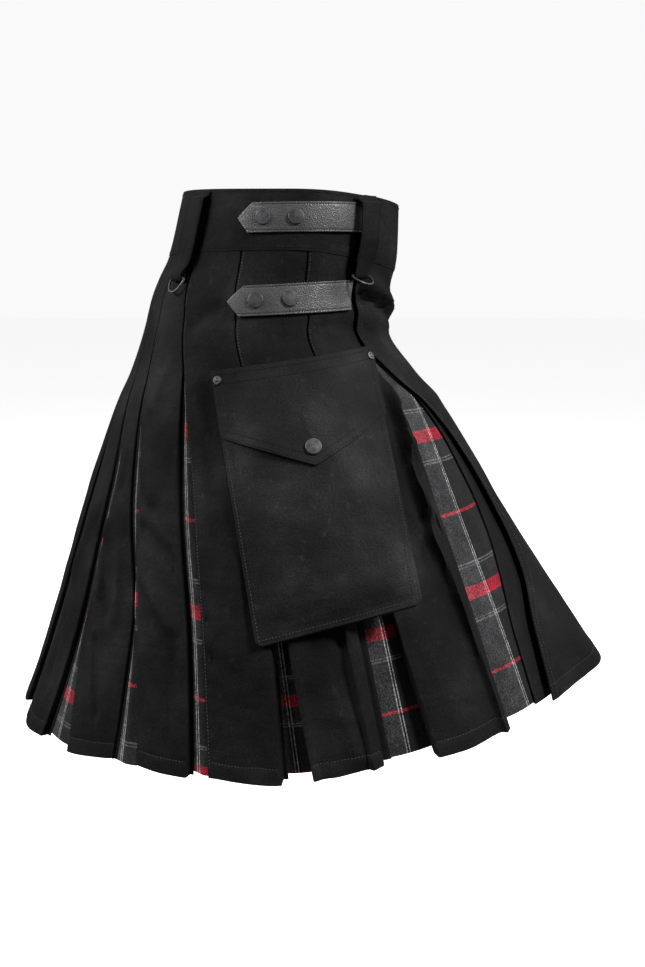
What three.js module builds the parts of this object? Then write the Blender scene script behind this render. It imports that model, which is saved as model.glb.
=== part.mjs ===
// Utility kilt: black cotton drill panels over checked wool insets, two cargo pockets,
// leather side straps and D-rings, shown filled out as it is worn.
//
// Frame: millimetres, +Z up, front of the kilt towards -Y, the wearer's right towards -X.
// The origin is the centre of the waistband, half way up it.
//
// Two numbers place a point on the kilt. The angle runs round the body in degrees, 0 at the
// centre front, + towards the wearer's right, 180 at the centre back. The fall runs down the
// skirt, 0 at the waistband seam and 1 at the hem. A point may lie inset, which is how far it
// is inside the outer surface of the cloth.

import * as THREE from 'three';

// Driving dimensions
const CLOTH = 1.2;              // cotton drill, turned edges included
const CHECK_CLOTH = 1.2;        // the wool of the insets
const APRON_CLOTH = 1.6;        // the apron is turned in at its free edge
const BAND = 3.0;               // the waistband is drill over canvas
const LEATHER = 2.2;
const SEAM = 0.35;              // clear space between pieces that are sewn together
const INSET_GAP = 0.45;         // clear space between a panel's return and the wool under it
const PANEL_GAP = 1.3;          // narrowest space between two panels' edges
const LAP = 8;                  // how far an inset runs on behind the panels each side of it
const BAND_LAP = 3.9;           // how far the under end of the waistband sinks below the apron
const RIGHT = 1;
const LEFT = -1;

// Outline of the outer surface at each height, from the top edge to below the hem
const SECTIONS = [
  { z: 60, half: 146, front: -122, back: 131 },
  { z: 34, half: 150, front: -121.7, back: 136.7 },
  { z: -33, half: 157, front: -119.4, back: 151.9 },
  { z: -85, half: 165, front: -111.6, back: 172.8 },
  { z: -102, half: 168, front: -114, back: 177 },
  { z: -120, half: 172, front: -109.4, back: 181.1 },
  { z: -170, half: 184, front: -139.9, back: 196.9 },
  { z: -201, half: 192, front: -166.4, back: 210 },
  { z: -235, half: 203, front: -189.2, back: 222.2 },
  { z: -333, half: 236, front: -247, back: 253 },
  { z: -432, half: 268, front: -307.7, back: 280.7 },
  { z: -514, half: 292, front: -358.8, back: 306 },
  { z: -563, half: 306, front: -391, back: 323 },
  { z: -600, half: 316, front: -414, back: 335 },
];

// Heights of the level lines at the centre front, the side and the centre back
const BAND_TOP = { front: 24, side: 34, back: 40 };
const BAND_SEAM = { front: -54, side: -32, back: -35 };
const HEM = { side: -538, frontRise: 47, backDrop: 17, backPower: 0.7 };

// The rows of points down each skirt piece
const FALLS = [0, 0.055, 0.11, 0.17, 0.23, 0.3, 0.4, 0.52, 0.64, 0.76, 0.88, 1];

// Where the columns of the panel table are read
const STATIONS = [0, 0.25, 0.5, 0.75, 1];

// Black pleat panels from the apron to the back: the angles of the edge nearer the front
// and of the edge nearer the back, how far the face crowns out, how wide the return is
// that shows in front of the panel, and how far the hem corners swing out and drop
const PANELS = [
  { front: [50.9, 43.5, 49, 52.7, 55.8], back: [77.7, 69.5, 70.5, 71.8, 71.5],
    crown: 3, fold: [1, 4, 15, 13, 7], swing: [2, 5], drop: [1, 3] },
  { front: [78.2, 70, 76, 79.8, 80.6], back: [108.8, 99.5, 96, 94.4, 92.5],
    crown: 2, fold: [1, 3, 8, 10, 10], swing: [-2, 3], drop: [0, 2] },
  { front: [109.3, 99.9, 98, 97.5, 97.5], back: [134.8, 124.2, 115.4, 111.8, 109.7],
    crown: 3, fold: [1, 2, 4, 5, 5], swing: [3, 0], drop: [4, 0] },
  { front: [135.3, 124.8, 120.3, 115.6, 113.5], back: [150, 145.3, 134, 128.2, 124.8],
    crown: 4, fold: [1, 2, 4, 4, 4], swing: [0, -4], drop: [2, -2] },
  { front: [150.5, 145.9, 137.5, 129.4, 129], back: [161.4, 157.4, 145.5, 145, 140.2],
    crown: 5, fold: [1, 2, 4, 3, 4], swing: [-4, 2], drop: [-2, 3] },
  { front: [161.9, 158, 149, 147.8, 149.8], back: [171.6, 168.6, 161, 160.5, 162.5],
    crown: 4, fold: [1, 2, 4, 4, 5], swing: [3, 1], drop: [2, 0] },
];
const BACK_EDGE = [172.1, 169.3, 168, 169, 171];
const BACK_CROWN = 3;
const BACK_FOLD = [1, 2, 4, 5, 5];
const LEFT_SWAY = 0.9;          // degrees that the hidden side's pleats hang otherwise, at most

// Depths below the outer surface, at the stations
const RETURN_DEPTH = [3.4, 4.4, 9, 11, 12];
const UNDER_DEPTH = [0, 2.4, 7.4, 9.4, 10.4];

// The apron's free edge, which swings forward below the hip, and the back edge of the under
// apron, which shows as a black strip beside it
const APRON_EDGE = [
  { fall: 0, apron: 50, under: 50.2 },
  { fall: 0.15, apron: 46, under: 46.2 },
  { fall: 0.25, apron: 38, under: 36.5 },
  { fall: 0.35, apron: 27.5, under: 29 },
  { fall: 0.45, apron: 21.5, under: 25.8 },
  { fall: 0.55, apron: 19.5, under: 26.2 },
  { fall: 0.65, apron: 21, under: 29.3 },
  { fall: 0.75, apron: 26, under: 35.2 },
  { fall: 0.85, apron: 34.8, under: 40.8 },
  { fall: 1, apron: 42.2, under: 45.6 },
];
const APRON_LEFT = [50.3, 45, 41.5, 41.5, 43.5];
const UNDER_END = { start: 405, short: 6 };   // the under apron ends this short of the apron

// Belt loops: a folded strip that stands off the band and ends in a fold round a D-ring
const LOOP = { width: 30, tab: 21, thick: 2.0, bar: 4.4, clear: 0.45 };
const LOOPS = [
  { name: 'front', angle: 49.5, top: 29, bar: -60, off: 11, lean: 56 },
  { name: 'back', angle: 138.5, top: 35, bar: -63, off: 10, lean: 27 },
];
const RING = { wire: 1.3, half: 13.6, drop: 17, sides: 6, arcSteps: 10 };

// Leather straps: z at the pointed end and at the root under the apron's edge
const STRAP = { width: 33, point: 14, lift: 0.9 };
const STRAPS = [
  { name: 'upper', tip: 113, root: 51, zTip: 2.5, zRoot: 4.5, snaps: [100.8, 85.8] },
  { name: 'lower', tip: 107.5, root: 51, zTip: -88, zRoot: -81, snaps: [95.2, 80.8] },
];
const SNAP_PROFILE = [[0, 0], [8, 0], [7.4, 1.9], [4, 3], [0, 3.3]];
const RIVET_PROFILE = [[0, 0], [4.6, 0], [3.6, 1.8], [0, 2.4]];

// Cargo pocket: it is sewn along its top to the hip and hangs flat from there
const POCKET = {
  topBack: { angle: 111.2, z: -163 },
  topFront: { angle: 41.5, z: -139 },
  bottomBack: new THREE.Vector3(-267, 39, -425),
  bottomFront: new THREE.Vector3(-268, -122.6, -382),
  wall: 1.4, puff: 5, off: 1.0, bulge: 8, edge: 0.5,
};
const FLAP = {
  wall: 1.8, gap: 0.8, back: 0.255, front: 0.29, apex: 0.415, apexAcross: 0.49, snapDown: 0.345,
};
const POCKET_COLUMNS = [0, 0.08, 0.21, 0.35, FLAP.apexAcross, 0.64, 0.79, 0.92, 1];
const RIVETS = [
  { name: 'back', across: 0.035, down: 0.04 },
  { name: 'front', across: 0.955, down: 0.045 },
];

// Finishes
const drill = new THREE.MeshStandardMaterial({ color: 0x1b1b1d, roughness: 0.85 });
const check = new THREE.MeshStandardMaterial({ color: 0x4a464a, roughness: 0.9 });
const leather = new THREE.MeshStandardMaterial({ color: 0x2a2a2a, roughness: 0.5 });
const gunmetal = new THREE.MeshStandardMaterial({
  color: 0x4c4d50, roughness: 0.35, metalness: 1,
});

const kilt = new THREE.Group();

// A smooth curve through a table's points that never overshoots them
function smoothCurve(xs, ys) {
  const last = xs.length - 1;
  const slopes = [];
  for (let i = 0; i < last; i += 1) {
    slopes.push((ys[i + 1] - ys[i]) / (xs[i + 1] - xs[i]));
  }
  const tangents = ys.map((_, i) => {
    if (i === 0) return slopes[0];
    if (i === last) return slopes[last - 1];
    const product = slopes[i - 1] * slopes[i];
    return product > 0 ? (2 * product) / (slopes[i - 1] + slopes[i]) : 0;
  });
  return (x) => {
    const at = THREE.MathUtils.clamp(x, xs[0], xs[last]);
    let i = 0;
    while (i < last - 1 && at > xs[i + 1]) i += 1;
    const span = xs[i + 1] - xs[i];
    const t = (at - xs[i]) / span;
    const rest = 1 - t;
    return ys[i] * (1 + 2 * t) * rest * rest + ys[i + 1] * (3 - 2 * t) * t * t
      + span * t * rest * (tangents[i] * rest - tangents[i + 1] * t);
  };
}

function column(table, key, value) {
  const rows = table[0][key] < table[1][key] ? table : [...table].reverse();
  return smoothCurve(rows.map((row) => row[key]), rows.map((row) => row[value]));
}

const halfAt = column(SECTIONS, 'z', 'half');
const frontAt = column(SECTIONS, 'z', 'front');
const backAt = column(SECTIONS, 'z', 'back');
const apronEdge = column(APRON_EDGE, 'fall', 'apron');
const underEdge = column(APRON_EDGE, 'fall', 'under');
const apronLeft = smoothCurve(STATIONS, APRON_LEFT);
const returnDepth = smoothCurve(STATIONS, RETURN_DEPTH);
const underDepth = smoothCurve(STATIONS, UNDER_DEPTH);
const smoothStep = THREE.MathUtils.smoothstep;
const lerp = THREE.MathUtils.lerp;

// The outer surface, and the same surface moved in by an inset
function skin(angle, z, inset = 0) {
  const turn = THREE.MathUtils.degToRad(angle);
  const half = halfAt(z);
  const middle = (frontAt(z) + backAt(z)) / 2;
  const deep = (backAt(z) - frontAt(z)) / 2;
  const normal = new THREE.Vector2(-Math.sin(turn) / half, -Math.cos(turn) / deep).normalize();
  return new THREE.Vector3(
    -half * Math.sin(turn) - inset * normal.x,
    middle - deep * Math.cos(turn) - inset * normal.y,
    z,
  );
}

// Level frame on the surface: out of it, and round it towards the back on the right side
function frameAt(angle, z) {
  const step = 0.05;
  const along = skin(angle + step, z).sub(skin(angle - step, z)).normalize();
  const out = new THREE.Vector3(-along.y, along.x, 0);
  if (out.dot(skin(angle, z)) < 0) out.negate();
  return { along, out };
}

function degreesPerMillimetre(angle, z) {
  return 1 / skin(angle + 0.5, z).distanceTo(skin(angle - 0.5, z));
}

function level(heights, angle) {
  const facing = Math.cos(THREE.MathUtils.degToRad(angle));
  const end = facing > 0 ? heights.front : heights.back;
  return heights.side + (end - heights.side) * facing * facing;
}

function hemHeight(angle) {
  const facing = Math.cos(THREE.MathUtils.degToRad(angle));
  if (facing > 0) return HEM.side + HEM.frontRise * facing;
  return HEM.side - HEM.backDrop * (-facing) ** HEM.backPower;
}

function fallHeight(angle, fall) {
  return lerp(level(BAND_SEAM, angle) - SEAM, hemHeight(angle), fall);
}

// The cloth under the apron's edge on the wearer's right sinks to let the apron lie on it
function sunk(angle, fall) {
  if (angle < 0) return 0;
  const near = 1 - smoothStep(angle, 53, 76);
  return BAND_LAP * near * (1 - smoothStep(fall, 0.14, 0.3));
}

// One closed mesh from its corner points and faces, turned to face outwards
function addMesh(name, points, faces, material) {
  let volume = 0;
  for (const [a, b, c] of faces) {
    volume += points[a].dot(points[b].clone().cross(points[c]));
  }
  const index = volume > 0 ? faces.flat() : faces.map(([a, b, c]) => [a, c, b]).flat();
  const geometry = new THREE.BufferGeometry();
  geometry.setFromPoints(points);
  geometry.setIndex(index);
  geometry.computeVertexNormals();
  const mesh = new THREE.Mesh(geometry, material);
  mesh.name = name;
  kilt.add(mesh);
  return mesh;
}

// A wall of cloth: each row has as many points on its outer side as on its inner side
function addWall(name, rows, material) {
  const across = rows[0].outer.length;
  const points = [];
  for (const row of rows) points.push(...row.outer, ...row.inner);
  const outer = (row, i) => row * 2 * across + i;
  const inner = (row, i) => outer(row, i) + across;
  const faces = [];
  const quad = (a, b, c, d) => faces.push([a, b, c], [a, c, d]);
  const last = rows.length - 1;
  for (let row = 0; row < last; row += 1) {
    for (let i = 0; i < across - 1; i += 1) {
      quad(outer(row, i), outer(row, i + 1), outer(row + 1, i + 1), outer(row + 1, i));
      quad(inner(row, i + 1), inner(row, i), inner(row + 1, i), inner(row + 1, i + 1));
    }
    quad(inner(row, 0), outer(row, 0), outer(row + 1, 0), inner(row + 1, 0));
    const end = across - 1;
    quad(outer(row, end), inner(row, end), inner(row + 1, end), outer(row + 1, end));
  }
  for (let i = 0; i < across - 1; i += 1) {
    quad(outer(0, i + 1), outer(0, i), inner(0, i), inner(0, i + 1));
    quad(outer(last, i), outer(last, i + 1), inner(last, i + 1), inner(last, i));
  }
  return addMesh(name, points, faces, material);
}

// The waistband is one strip. It starts at the apron's edge on the wearer's right, crosses the
// front, goes round the back, and ends inside, under the apron, near the wearer's left.
function addWaistband() {
  const step = 7;
  const start = apronEdge(0);
  const count = Math.round((UNDER_END.start + start) / step);
  const travel = [];
  for (let i = 0; i <= count; i += 1) {
    travel.push(start - ((UNDER_END.start + start - 2 * UNDER_END.short) * i) / count);
  }
  const rows = [0, 0.5, 1].map((up) => {
    const side = (inset) => travel.map((angle) => {
      const sink = BAND_LAP * smoothStep(-angle, 360 - 76, 360 - 53);
      const z = lerp(level(BAND_SEAM, angle), level(BAND_TOP, angle), up);
      return skin(angle, z, inset + sink);
    });
    return { outer: side(0), inner: side(BAND) };
  });
  addWall('waistband', rows, drill);
}

// The apron: a flat front panel, free at its right edge, turned in on the wool at its left
function addApron() {
  const facets = 11;
  const rows = FALLS.map((fall) => {
    const right = apronEdge(fall);
    const left = -apronLeft(fall);
    const turned = returnDepth(fall) + CLOTH + INSET_GAP - SEAM;
    const wide = APRON_CLOTH * degreesPerMillimetre(left, fallHeight(left, fall));
    const place = (angle, inset) => skin(angle, fallHeight(angle, fall), inset);
    const wall = (inset) => {
      const points = [];
      for (let i = 0; i <= facets; i += 1) {
        const shift = inset > 0 && i === 0 ? wide : 0;
        points.push(place(lerp(left, right, i / facets) + shift, inset));
      }
      return points;
    };
    return {
      outer: [place(left, turned), ...wall(0)],
      inner: [place(left + wide, turned), ...wall(APRON_CLOTH)],
    };
  });
  addWall('apron', rows, drill);
}

function underInset(angle, fall) {
  return underDepth(fall) + BAND_LAP * (1 - smoothStep(fall, 0.14, 0.3));
}

// The under apron: it carries on from the wool beside the first pleat and ends inside
function addUnderApron() {
  const facets = 9;
  const rows = FALLS.map((fall) => {
    const right = underEdge(fall);
    const left = -(apronLeft(fall) - UNDER_END.short);
    const turned = checkInset(right, fall) - SEAM;
    const wide = CLOTH * degreesPerMillimetre(right, fallHeight(right, fall));
    const place = (angle, inset) => skin(angle, fallHeight(angle, fall), inset);
    const wall = (inset) => {
      const points = [];
      for (let i = 0; i <= facets; i += 1) {
        const shift = inset > 0 && i === facets ? -wide : 0;
        const angle = lerp(left, right, i / facets) + shift;
        points.push(place(angle, underInset(angle, fall) + inset));
      }
      return points;
    };
    return {
      outer: [...wall(0), place(right, turned)],
      inner: [...wall(CLOTH), place(right - wide, turned)],
    };
  });
  addWall('under_apron', rows, drill);
}

// How deep the wool lies: under the returns of the black panels
function checkInset(angle, fall) {
  return returnDepth(fall) + sunk(angle, fall) + CLOTH + INSET_GAP;
}

// Edges and hem of one panel as functions of the fall, on one side of the kilt
function panelShape(row, side, number) {
  const sway = side === LEFT ? LEFT_SWAY * Math.sin((Math.PI * number) / 3) : 0;
  const front = smoothCurve(STATIONS, row.front);
  const back = smoothCurve(STATIONS, row.back);
  return {
    front: (fall) => side * (front(fall) + sway * fall),
    back: (fall) => side * (back(fall) + sway * fall),
    fold: smoothCurve(STATIONS, row.fold),
    crown: row.crown,
    swing: row.swing,
    drop: row.drop,
    side,
  };
}

// One black panel. Its back edge turns in on the wool behind it, and its front edge turns in
// and then forward, as a return that shows beside the wool where the pleat stands open.
function addPanel(name, shape, before) {
  const { side, swing, drop } = shape;
  const rows = FALLS.map((fall) => {
    const middle = (shape.front(fall) + shape.back(fall)) / 2;
    const degrees = degreesPerMillimetre(middle, fallHeight(middle, fall));
    const previous = before(fall) * side;
    const front = Math.max(shape.front(fall) * side, previous + PANEL_GAP * degrees);
    const back = shape.back(fall) * side;
    const room = (front - previous) / degrees - SEAM;
    const fold = THREE.MathUtils.clamp(shape.fold(fall), 0.6, room);
    const open = smoothStep(fall, 0.2, 0.5);
    const place = (angle, inset, across) => {
      const hang = hangAt(lerp(swing[0], swing[1], across), fall);
      const low = lerp(drop[0], drop[1], across) * fall * fall;
      const z = fallHeight(angle, fall) - low;
      return skin(angle * side, z, inset + sunk(angle * side, fall) - hang);
    };
    const depth = returnDepth(fall);
    const lip = depth + CLOTH + INSET_GAP - SEAM;
    const thick = CLOTH * degrees;
    const faces = [0.75, 0.5, 0.25];
    const crowned = (across, inset) => {
      const bulge = shape.crown * open * Math.sin(Math.PI * across);
      return place(lerp(front, back, across), inset - bulge, across);
    };
    return {
      outer: [
        place(back, lip + hangAt(swing[1], fall), 1),
        place(back, 0, 1),
        ...faces.map((across) => crowned(across, 0)),
        place(front, 0, 0),
        place(front, depth + hangAt(swing[0], fall), 0),
        place(front - fold * degrees, depth + hangAt(swing[0], fall), 0),
      ],
      inner: [
        place(back - thick, lip + hangAt(swing[1], fall), 1),
        place(back - thick, CLOTH, 1),
        ...faces.map((across) => crowned(across, CLOTH)),
        place(front + thick, CLOTH, 0),
        place(front + thick, depth + CLOTH + hangAt(swing[0], fall), 0),
        place(front - fold * degrees, depth + CLOTH + hangAt(swing[0], fall), 0),
      ],
    };
  });
  addWall(name, rows, drill);
}

function hangAt(swing, fall) {
  return swing * fall * fall * fall;
}

// The wool behind the gap between two panels' edges, which are functions of the fall
function addInset(name, from, to, side) {
  const facets = 3;
  const rows = FALLS.map((fall) => {
    const start = from(fall) * side;
    const degrees = degreesPerMillimetre(start, fallHeight(start, fall));
    const wall = (thick) => {
      const points = [];
      for (let i = 0; i <= facets; i += 1) {
        const angle = lerp(start - LAP * degrees, to(fall) * side + LAP * degrees, i / facets);
        const inset = checkInset(angle * side, fall) + thick;
        points.push(skin(angle * side, fallHeight(angle, fall), inset));
      }
      return points;
    };
    return { outer: wall(0), inner: wall(CHECK_CLOTH) };
  });
  addWall(name, rows, check);
}

function addSkirt() {
  addApron();
  addUnderApron();
  for (const side of [RIGHT, LEFT]) {
    const label = side === RIGHT ? 'right' : 'left';
    let before = side === RIGHT ? underEdge : (fall) => -apronLeft(fall);
    PANELS.forEach((row, i) => {
      const shape = panelShape(row, side, i + 1);
      addInset(`check_inset_${label}_${i + 1}`, before, shape.front, side);
      addPanel(`panel_${label}_${i + 1}`, shape, before);
      before = shape.back;
    });
    const edge = smoothCurve(STATIONS, BACK_EDGE);
    addInset(`check_inset_${label}_7`, before, (fall) => edge(fall) * side, side);
  }
  addBackPanel();
}

// The centre back panel has a return at both edges
function addBackPanel() {
  const edge = smoothCurve(STATIONS, BACK_EDGE);
  const foldAt = smoothCurve(STATIONS, BACK_FOLD);
  const rows = FALLS.map((fall) => {
    const start = edge(fall);
    const degrees = degreesPerMillimetre(180, fallHeight(180, fall));
    const depth = returnDepth(fall);
    const thick = CLOTH * degrees;
    const widest = (start - PANELS[5].back[0]) / degrees - SEAM;
    const fold = Math.max(0.6, Math.min(foldAt(fall), fall < 0.3 ? widest : Infinity)) * degrees;
    const place = (angle, inset) => skin(angle, fallHeight(angle, fall), inset);
    const crowned = (across, inset) => {
      const bulge = BACK_CROWN * smoothStep(fall, 0.2, 0.5) * Math.sin(Math.PI * across);
      return place(lerp(start, 360 - start, across), inset - bulge);
    };
    const faces = [0.25, 0.5, 0.75];
    return {
      outer: [
        place(start - fold, depth), place(start, depth), place(start, 0),
        ...faces.map((across) => crowned(across, 0)),
        place(360 - start, 0), place(360 - start, depth), place(360 - start + fold, depth),
      ],
      inner: [
        place(start - fold, depth + CLOTH), place(start + thick, depth + CLOTH),
        place(start + thick, CLOTH),
        ...faces.map((across) => crowned(across, CLOTH)),
        place(360 - start - thick, CLOTH), place(360 - start - thick, depth + CLOTH),
        place(360 - start + fold, depth + CLOTH),
      ],
    };
  });
  addWall('panel_back', rows, drill);
}

// Belt loop, as a profile of out and up, and the D-ring in the fold at its lower end
function loopProfile(loop) {
  const { thick, bar, clear } = LOOP;
  const reach = RING.wire + clear;
  const outer = [
    { out: SEAM + thick, z: loop.top },
    { out: SEAM + thick, z: loop.top - 3 },
    { out: loop.off, z: loop.top - 8.5 },
    { out: loop.off + 0.5, z: (loop.top + loop.bar) / 2 },
    { out: bar + reach + thick + 0.6, z: loop.bar + 14 },
  ];
  const inner = outer.map((point, i) => ({ out: point.out - thick, z: point.z - (i === 1 ? 1 : 0) }));
  for (const turn of [0, 45, 90, 135, 180]) {
    const angle = THREE.MathUtils.degToRad(turn);
    const at = (radius) => ({
      out: bar + radius * Math.cos(angle), z: loop.bar - radius * Math.sin(angle),
    });
    outer.push(at(reach + thick));
    inner.push(at(reach));
  }
  outer.push({ out: bar - reach - thick, z: loop.bar + 5 });
  inner.push({ out: bar - reach, z: loop.bar + 5 });
  return { outer, inner };
}

function addLoop(loop, side) {
  const angle = loop.angle * side;
  const label = `${loop.name}_${side === RIGHT ? 'right' : 'left'}`;
  const { along, out } = frameAt(angle, loop.bar);
  const foot = skin(angle, loop.bar);
  const profile = loopProfile(loop);
  const stand = ({ out: off, z }) => {
    const base = skin(angle, z);
    const spread = z > loop.bar + 8 ? base : foot.clone().setZ(z);
    return spread.addScaledVector(out, off);
  };
  const rows = [-1, 1].map((edge) => {
    const wide = ({ z }) => (edge * (z > loop.bar + 8 ? LOOP.width : LOOP.tab)) / 2;
    const place = (point) => stand(point).addScaledVector(along, wide(point));
    return { outer: profile.outer.map(place), inner: profile.inner.map(place) };
  });
  addWall(`belt_loop_${label}`, rows, drill);

  const centre = foot.clone().addScaledVector(out, LOOP.bar);
  const lean = THREE.MathUtils.degToRad(loop.lean);
  const down = out.clone().multiplyScalar(Math.sin(lean)).add(
    new THREE.Vector3(0, 0, -Math.cos(lean)),
  );
  addRing(`d_ring_${label}`, centre, along, down);
}

// D-ring: round wire along a straight bar and half an ellipse
function addRing(name, centre, along, down) {
  const path = [new THREE.Vector2(RING.half, 0), new THREE.Vector2(0, 0)];
  path.push(new THREE.Vector2(-RING.half, 0));
  for (let i = 1; i < RING.arcSteps; i += 1) {
    const turn = Math.PI * (1 - i / RING.arcSteps);
    path.push(new THREE.Vector2(RING.half * Math.cos(turn), RING.drop * Math.sin(turn)));
  }
  const face = new THREE.Vector3().crossVectors(along, down);
  const count = path.length;
  const points = [];
  path.forEach((point, i) => {
    const next = path[(i + 1) % count].clone().sub(point).normalize();
    const last = point.clone().sub(path[(i + count - 1) % count]).normalize();
    const tangent = next.clone().add(last).normalize();
    const across = new THREE.Vector2(-tangent.y, tangent.x);
    const mitre = 1 / Math.max(0.6, tangent.dot(next));
    for (let k = 0; k < RING.sides; k += 1) {
      const turn = (2 * Math.PI * k) / RING.sides;
      const flat = point.clone().addScaledVector(across, RING.wire * mitre * Math.cos(turn));
      points.push(centre.clone().addScaledVector(along, flat.x).addScaledVector(down, flat.y)
        .addScaledVector(face, RING.wire * Math.sin(turn)));
    }
  });
  const faces = [];
  for (let i = 0; i < count; i += 1) {
    for (let k = 0; k < RING.sides; k += 1) {
      const a = i * RING.sides + k;
      const b = i * RING.sides + ((k + 1) % RING.sides);
      const c = ((i + 1) % count) * RING.sides + ((k + 1) % RING.sides);
      const d = ((i + 1) % count) * RING.sides + k;
      faces.push([a, b, c], [a, c, d]);
    }
  }
  addMesh(name, points, faces, gunmetal);
}

// A turned metal cap that stands on a surface
function addCap(name, profile, sides, foot, out) {
  const line = profile.map(([radius, height]) => new THREE.Vector2(radius, height));
  const cap = new THREE.Mesh(new THREE.LatheGeometry(line, sides), gunmetal);
  cap.name = name;
  cap.quaternion.setFromUnitVectors(new THREE.Vector3(0, 1, 0), out);
  cap.position.copy(foot).addScaledVector(out, SEAM);
  kilt.add(cap);
}

// Height of the strap's centre line, and how far out its inner side lies
function strapLine(strap, angle) {
  const t = (angle - strap.root) / (strap.tip - strap.root);
  return lerp(strap.zRoot, strap.zTip, t);
}

function strapLift(angle, side) {
  const dip = side === RIGHT ? BAND_LAP * 0.75 * (1 - smoothStep(angle, 51, 68)) : 0;
  return STRAP.lift - dip;
}

function addStrap(strap, side) {
  const label = `${strap.name}_${side === RIGHT ? 'right' : 'left'}`;
  const facets = 12;
  const degrees = degreesPerMillimetre(strap.tip, strap.zTip);
  const rows = [-1, 0, 1].map((edge) => {
    const tip = strap.tip - Math.abs(edge) * STRAP.point * degrees;
    const face = (thick) => {
      const points = [];
      for (let i = 0; i <= facets; i += 1) {
        const angle = lerp(strap.root, tip, i / facets);
        const z = strapLine(strap, angle) + (edge * STRAP.width) / 2;
        points.push(skin(angle * side, z, -strapLift(angle, side) - thick));
      }
      return points;
    };
    return { outer: face(LEATHER), inner: face(0) };
  });
  addWall(`strap_${label}`, rows, leather);
  strap.snaps.forEach((angle, i) => {
    const z = strapLine(strap, angle);
    const foot = skin(angle * side, z, -strapLift(angle, side) - LEATHER);
    const upper = skin(angle * side, z + STRAP.width / 2);
    const lower = skin(angle * side, z - STRAP.width / 2);
    const { along } = frameAt(angle * side, z);
    const out = along.clone().cross(upper.sub(lower)).normalize();
    if (out.dot(foot) < 0) out.negate();
    addCap(`snap_${label}_${i + 1}`, SNAP_PROFILE, 12, foot, out);
  });
}

// A point of the pocket's back sheet, across from its back edge and down from its top
function pocketPoint(across, down) {
  const { topBack, topFront, bottomBack, bottomFront, off, bulge } = POCKET;
  const angle = lerp(topBack.angle, topFront.angle, across);
  const top = skin(angle, lerp(topBack.z, topFront.z, across), -off);
  const bottom = bottomBack.clone().lerp(bottomFront, across);
  const point = top.lerp(bottom, down);
  const swell = bulge * Math.sin(Math.PI * down) * (1 - 0.5 * Math.abs(2 * across - 1));
  point.x -= swell;
  return point;
}

function pocketNormal(across, down) {
  const step = 0.01;
  const wide = pocketPoint(across + step, down).sub(pocketPoint(across - step, down));
  const tall = pocketPoint(across, down + step).sub(pocketPoint(across, down - step));
  const normal = wide.cross(tall).normalize();
  return normal.x > 0 ? normal.negate() : normal;
}

function onPocket(across, down, height, side) {
  const point = pocketPoint(across, down).addScaledVector(pocketNormal(across, down), height);
  point.x *= side;
  return point;
}

function pocketPuff(across, down) {
  const wide = 1 - (2 * across - 1) ** 4;
  const tall = smoothStep(1 - down, 0, 0.12) * lerp(0.55, 1, smoothStep(down, 0, 0.5));
  return POCKET.edge + POCKET.puff * wide * tall;
}

function addPocket(side) {
  const label = side === RIGHT ? 'right' : 'left';
  const { wall } = POCKET;
  const downs = [0.02, 0.2, 0.45, 0.7, 0.9];
  const rows = POCKET_COLUMNS.map((across) => {
    const full = (down) => wall + pocketPuff(across, down);
    const back = (height) => downs.map((down) => onPocket(across, down, height, side));
    const front = (extra) => [...downs].reverse().map(
      (down) => onPocket(across, down, full(down) + extra, side),
    );
    const foot = full(1);
    return {
      outer: [...back(0), onPocket(across, 1, 0, side), onPocket(across, 1, foot + wall, side),
        ...front(wall)],
      inner: [...back(wall), onPocket(across, 0.992, wall, side),
        onPocket(across, 0.992, foot, side), ...front(0)],
    };
  });
  addWall(`pocket_${label}`, rows, drill);
}

function flapLength(across) {
  const { apexAcross, back, front, apex } = FLAP;
  if (across < apexAcross) return lerp(back, apex, across / apexAcross);
  return lerp(apex, front, (across - apexAcross) / (1 - apexAcross));
}

function flapHeight(across, down) {
  return 2 * POCKET.wall + pocketPuff(across, down) + FLAP.gap;
}

function addFlap(side) {
  const label = side === RIGHT ? 'right' : 'left';
  const rows = POCKET_COLUMNS.map((across) => {
    const face = (thick) => [0, 0.3, 0.65, 1].map((part) => {
      const down = part * flapLength(across);
      return onPocket(across, down, flapHeight(across, down) + thick, side);
    });
    return { outer: face(FLAP.wall), inner: face(0) };
  });
  addWall(`pocket_flap_${label}`, rows, drill);
  const cap = (name, profile, sides, across, down) => {
    const foot = onPocket(across, down, flapHeight(across, down) + FLAP.wall, side);
    const out = pocketNormal(across, down);
    out.x *= side;
    addCap(name, profile, sides, foot, out);
  };
  cap(`pocket_snap_${label}`, SNAP_PROFILE, 12, FLAP.apexAcross, FLAP.snapDown);
  for (const rivet of RIVETS) {
    cap(`rivet_${rivet.name}_${label}`, RIVET_PROFILE, 10, rivet.across, rivet.down);
  }
}

addWaistband();
addSkirt();
for (const side of [RIGHT, LEFT]) {
  for (const loop of LOOPS) addLoop(loop, side);
  for (const strap of STRAPS) addStrap(strap, side);
  addPocket(side);
  addFlap(side);
}

export default kilt;
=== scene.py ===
"""The look of a utility kilt: black drill panels over checked wool insets.

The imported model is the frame. Every piece of cloth, leather and metal here stands for the
node of the same name and is built on the same surface, in the same place, with its folds and
its finish. The stitching is added.

The tables are in millimetres and degrees, as in the part's own source, and a mesh is scaled
to metres when it is made. The angle runs round the body, 0 at the centre front, + towards
the wearer's right, 180 at the centre back. The fall runs down the skirt, 0 at the waistband
seam and 1 at the hem. The front of the kilt faces -Y and the wearer's right is -X.
"""

import math
from bisect import bisect_right

import bpy
from bpy.props import FloatProperty, FloatVectorProperty, IntProperty, PointerProperty
from mathutils import Matrix, Vector, noise


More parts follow.
